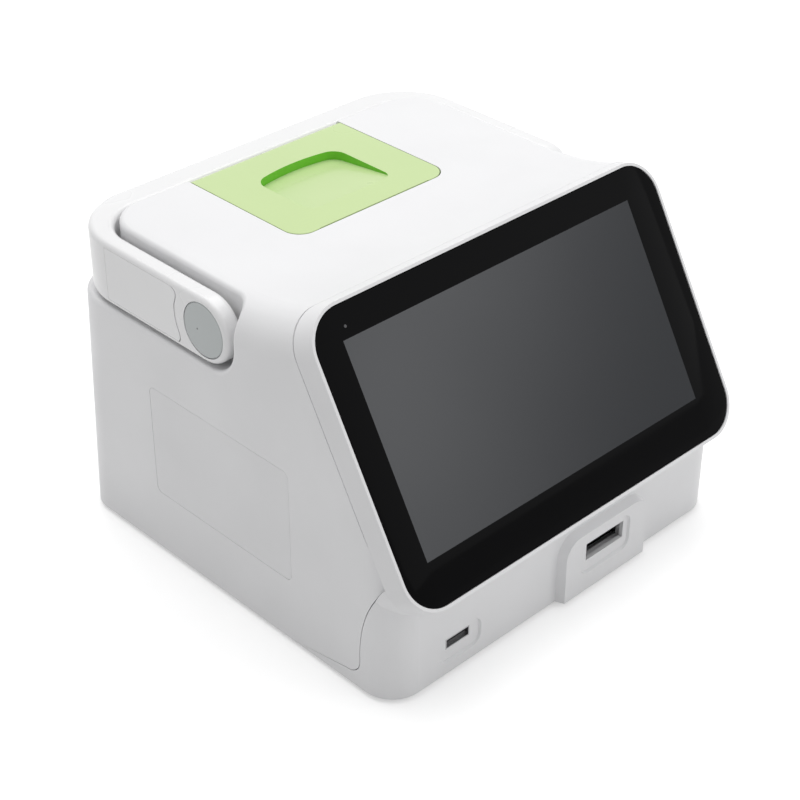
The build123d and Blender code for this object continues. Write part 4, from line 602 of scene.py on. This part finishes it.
class READER_OT_display(bpy.types.Operator):
    """Cover glass with its printed border and clear window"""
    bl_idname = "reader.display"
    bl_label = "Display"

    def execute(self, context):
        settings = context.scene.reader_display
        deselect_all()
        bpy.ops.mesh.primitive_plane_add(size=1)
        glass = context.object
        glass.name = "touch_glass"
        glass.scale = (settings.width, settings.height, 1)
        bpy.ops.object.transform_apply(location=False, rotation=False, scale=True)
        bpy.ops.object.mode_set(mode="EDIT")
        bpy.ops.mesh.select_all(action="SELECT")
        bpy.ops.mesh.bevel(offset=settings.corner, segments=GLASS_CORNER_STEPS, affect="VERTICES")
        bpy.ops.mesh.select_all(action="SELECT")
        top = settings.thickness
        bpy.ops.mesh.extrude_region_move(TRANSFORM_OT_translate={"value": (0, 0, top)})
        pick_edges(glass, lambda a, b: a.z > top - NEAR and b.z > top - NEAR)
        bpy.ops.mesh.bevel(offset=GLASS_EDGE, segments=3, affect="EDGES")
        x0 = settings.window_x - settings.window_width / 2
        x1 = settings.window_x + settings.window_width / 2
        y0 = settings.window_up - settings.window_height / 2
        y1 = settings.window_up + settings.window_height / 2
        across, along = (1, 0, 0), (0, 1, 0)
        for place, normal in (((x0, 0, 0), across), ((x1, 0, 0), across), ((0, y0, 0), along),
                              ((0, y1, 0), along)):
            bpy.ops.mesh.select_all(action="SELECT")
            bpy.ops.mesh.bisect(plane_co=place, plane_no=normal)
        bpy.ops.object.mode_set(mode="OBJECT")
        for name in ("glass_border", "glass_window"):
            glass.data.materials.append(FINISHES[name])
        for face in glass.data.polygons:
            x, y, z = face.center
            if x0 < x < x1 and y0 < y < y1 and z > top - NEAR:
                face.material_index = 1
        self.lean(glass, (0, 0, -top - settings.sunk), settings)
        settle(glass, replaces=("cover_glass",))
        sensor = low_dome("light_sensor", settings.sensor_radius, SENSOR_HEIGHT)
        self.lean(sensor, (settings.sensor_x, settings.sensor_up, -settings.sunk), settings)
        settle(sensor, "sensor_grey")
        finish_nodes("plastic_dark", "display_panel")
        finish_nodes("sheet_metal", "display_bracket")
        finish_nodes("board_green", "display_driver_board")
        finish_nodes("steel", "inner_screws")
        return {"FINISHED"}

    def lean(self, piece, place, settings):
        """Turn a piece into the display's plane, at a place given across, up the slope and outwards."""
        turn = Euler((settings.tilt, 0, 0))
        offset = Vector(place)
        offset.rotate(turn)
        piece.rotation_euler = turn
        piece.location = Vector((0, settings.centre_y, settings.centre_z)) + offset


class READER_OT_handle(bpy.types.Operator):
    """Carry handle with its flush panels and pivot caps"""
    bl_idname = "reader.handle"
    bl_label = "Handle"

    def execute(self, context):
        finish_nodes("handle_white", "carry_handle")
        finish_nodes("panel_white", "handle_inlays")
        finish_nodes("cap_grey", "pivot_caps")
        marks = context.scene.reader_sockets
        # painted shade: a low dark dome on each cap in place of the shaded dimple of its mould mark
        for side, name in ((-1, "cap_mark_left"), (1, "cap_mark_right")):
            mark = low_dome(name, marks.mark_radius, MARK_HEIGHT)
            mark.rotation_euler = (0, side * math.pi / 2, 0)
            mark.location = (side * marks.cap_x, marks.mark_y, marks.mark_z)
            settle(mark, "cap_dimple_shade", body="handle")
        finish_nodes("plastic_pale", "pivot_bushes", "pivot_washers")
        finish_nodes("steel", "pivot_screws")
        return {"FINISHED"}


class READER_OT_lid(bpy.types.Operator):
    """Printer lid with its finger scoop"""
    bl_idname = "reader.lid"
    bl_label = "Printer lid"

    def execute(self, context):
        lid = context.scene.reader_lid
        half = lid.scoop_width / 2 + SCOOP_MARGIN
        floor = lid.top - lid.scoop_depth - SCOOP_FLOOR_MARGIN
        rear = lid.scoop_rear + SCOOP_MARGIN
        middle = Vector((lid.middle_x, (lid.scoop_front + lid.scoop_rear) / 2, 0))

        def part_of(centre, normal):
            """1 on the scoop's walls, which get the painted shade."""
            inside = abs(centre.x - lid.middle_x) < half and lid.scoop_front < centre.y < rear
            inward = (middle - centre).xy.dot(normal.xy) > 0
            return int(inside and inward and centre.z > floor and abs(normal.z) < SCOOP_WALL_SLOPE)

        # the scoop's walls get the painted shade, the rest the lid green
        repaint("printer_lid", "lid_shell", ("lid_green", "scoop_painted_shade"), part_of, "lid")
        finish_nodes("steel", "lid_hinge_pin", "tear_bar")
        return {"FINISHED"}


class READER_OT_label(bpy.types.Operator):
    """Bare plate on the left side"""
    bl_idname = "reader.label"
    bl_label = "Side plate"

    def execute(self, context):
        finish_nodes("label_plate", "side_label")
        return {"FINISHED"}


class READER_OT_works(bpy.types.Operator):
    """Printer, paper, reader and electronics inside"""
    bl_idname = "reader.works"
    bl_label = "Works"

    def execute(self, context):
        finish_nodes("sheet_metal", "printer_frame", "printer_motor", "drive_motor", "motor_bracket",
                     "optics_arch")
        finish_nodes("plastic_dark", "print_head", "reader_chassis", "optical_head", "speaker",
                     "cassette_carriage")
        finish_nodes("steel", "head_spring", "platen_shaft", "idler_pin", "motor_pinion", "drive_pinion",
                     "guide_rods")
        finish_nodes("platen_rubber", "platen_roller")
        finish_nodes("plastic_pale", "platen_gear", "idler_gear", "paper_bucket", "carriage_rack")
        finish_nodes("paper_white", "paper_roll")
        finish_nodes("paper_brown", "paper_core")
        finish_nodes("bronze", "carriage_bushes", "board_standoffs")
        finish_nodes("lens_glass", "objective_lens")
        finish_nodes("board_green", "light_board", "detector_board")
        repaint("main_board", "controller_board", ("board_green", "plastic_dark", "plastic_pale"),
                self.controller_part)
        repaint("power_supply", "supply_board", ("board_green", "plastic_dark", "bronze"),
                self.supply_part)
        return {"FINISHED"}

    @staticmethod
    def controller_part(centre, normal):
        """0 on the board, 1 on low parts, 2 on tall ones."""
        if centre.z < BOARD_TOP:
            return 0
        return 2 if centre.z > BOARD_TOP + LOW_PARTS else 1

    @staticmethod
    def supply_part(centre, normal):
        """0 on the board, 1 on dark parts, 2 on the coil."""
        if centre.z < BOARD_TOP:
            return 0
        return 2 if centre.y < COIL_Y else 1


class READER_OT_sockets(bpy.types.Operator):
    """Front and rear sockets and the mains switch"""
    bl_idname = "reader.sockets"
    bl_label = "Sockets"

    def execute(self, context):
        finish_nodes("steel", "front_port_shell", "inlet_pins")
        finish_nodes("plastic_dark", "front_port_tongue", "power_inlet", "switch_body", "switch_rocker",
                     "network_port")
        finish_nodes("board_green", "rear_socket_board")
        places = context.scene.reader_sockets
        self.front_contacts(places)
        self.rear_contacts(places)
        middle, gap = places.rear_z + TONGUE_UP, places.usb_gap

        def part_of(centre, normal):
            """1 on the plastic tongues inside the metal shells."""
            height = min(abs(centre.z - middle - gap), abs(centre.z - middle + gap))
            return int(height < TONGUE_HALF_T and abs(centre.x - places.usb_x) < TONGUE_HALF_W)

        repaint("rear_usb_ports", "rear_data_sockets", ("steel", "plastic_dark"), part_of)
        return {"FINISHED"}

    def front_contacts(self, places):
        """Four contacts on the front socket's tongue."""
        boxes = []
        for step in CONTACT_STEPS:
            x = places.front_x + step
            boxes.append(((x - CONTACT_HALF, places.front_y, places.front_z - CONTACT_THIN / 2),
                          (x + CONTACT_HALF, places.front_y + FRONT_CONTACT_LENGTH,
                           places.front_z + CONTACT_THIN)))
        settle(bars("front_contacts", boxes), "gold")

    def rear_contacts(self, places):
        """Four contacts in each rear data socket and eight wires in the network socket."""
        face, boxes = places.rear_y, []
        for side in (-1, 1):
            under = places.rear_z + side * places.usb_gap
            for step in CONTACT_STEPS:
                x = places.usb_x + step
                boxes.append(((x - CONTACT_HALF, face - REAR_CONTACT[0], under - CONTACT_THIN),
                              (x + CONTACT_HALF, face - REAR_CONTACT[1], under + CONTACT_THIN)))
        for wire in range(NETWORK_WIRES):
            x = places.network_x + (wire - (NETWORK_WIRES - 1) / 2) * NETWORK_PITCH
            boxes.append(((x - CONTACT_HALF / 3, face - NETWORK_WIRE[0], places.rear_z + NETWORK_LOW),
                          (x + CONTACT_HALF / 3, face - NETWORK_WIRE[1], places.rear_z + NETWORK_HIGH)))
        settle(bars("rear_contacts", boxes), "gold")


class READER_PT_builder(bpy.types.Panel):
    """The builder's steps in the sidebar"""
    bl_label = "Rapid test reader"
    bl_idname = "READER_PT_builder"
    bl_space_type = "VIEW_3D"
    bl_region_type = "UI"
    bl_category = "Reader"

    def draw(self, context):
        for step in STEPS:
            self.layout.operator(step.bl_idname)


STEPS = (READER_OT_stage, READER_OT_finishes, READER_OT_casing, READER_OT_display, READER_OT_handle,
         READER_OT_lid, READER_OT_label, READER_OT_works, READER_OT_sockets)
SETTINGS = {"reader_stage": StageSettings, "reader_casing": CasingSettings, "reader_lid": LidSettings,
            "reader_display": DisplaySettings, "reader_label": LabelSettings,
            "reader_sockets": SocketSettings}


def register():
    """Add the settings, steps and panel to Blender."""
    for group in SETTINGS.values():
        bpy.utils.register_class(group)
    for name, group in SETTINGS.items():
        setattr(bpy.types.Scene, name, bpy.props.PointerProperty(type=group))
    for step in STEPS:
        bpy.utils.register_class(step)
    bpy.utils.register_class(READER_PT_builder)


def unregister():
    """Take them out again."""
    bpy.utils.unregister_class(READER_PT_builder)
    for step in reversed(STEPS):
        bpy.utils.unregister_class(step)
    for name, group in SETTINGS.items():
        delattr(bpy.types.Scene, name)
        bpy.utils.unregister_class(group)


def main():
    """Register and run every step."""
    register()
    for step in STEPS:
        family, name = step.bl_idname.split(".")
        getattr(getattr(bpy.ops, family), name)()


if __name__ == "__main__":
    main()
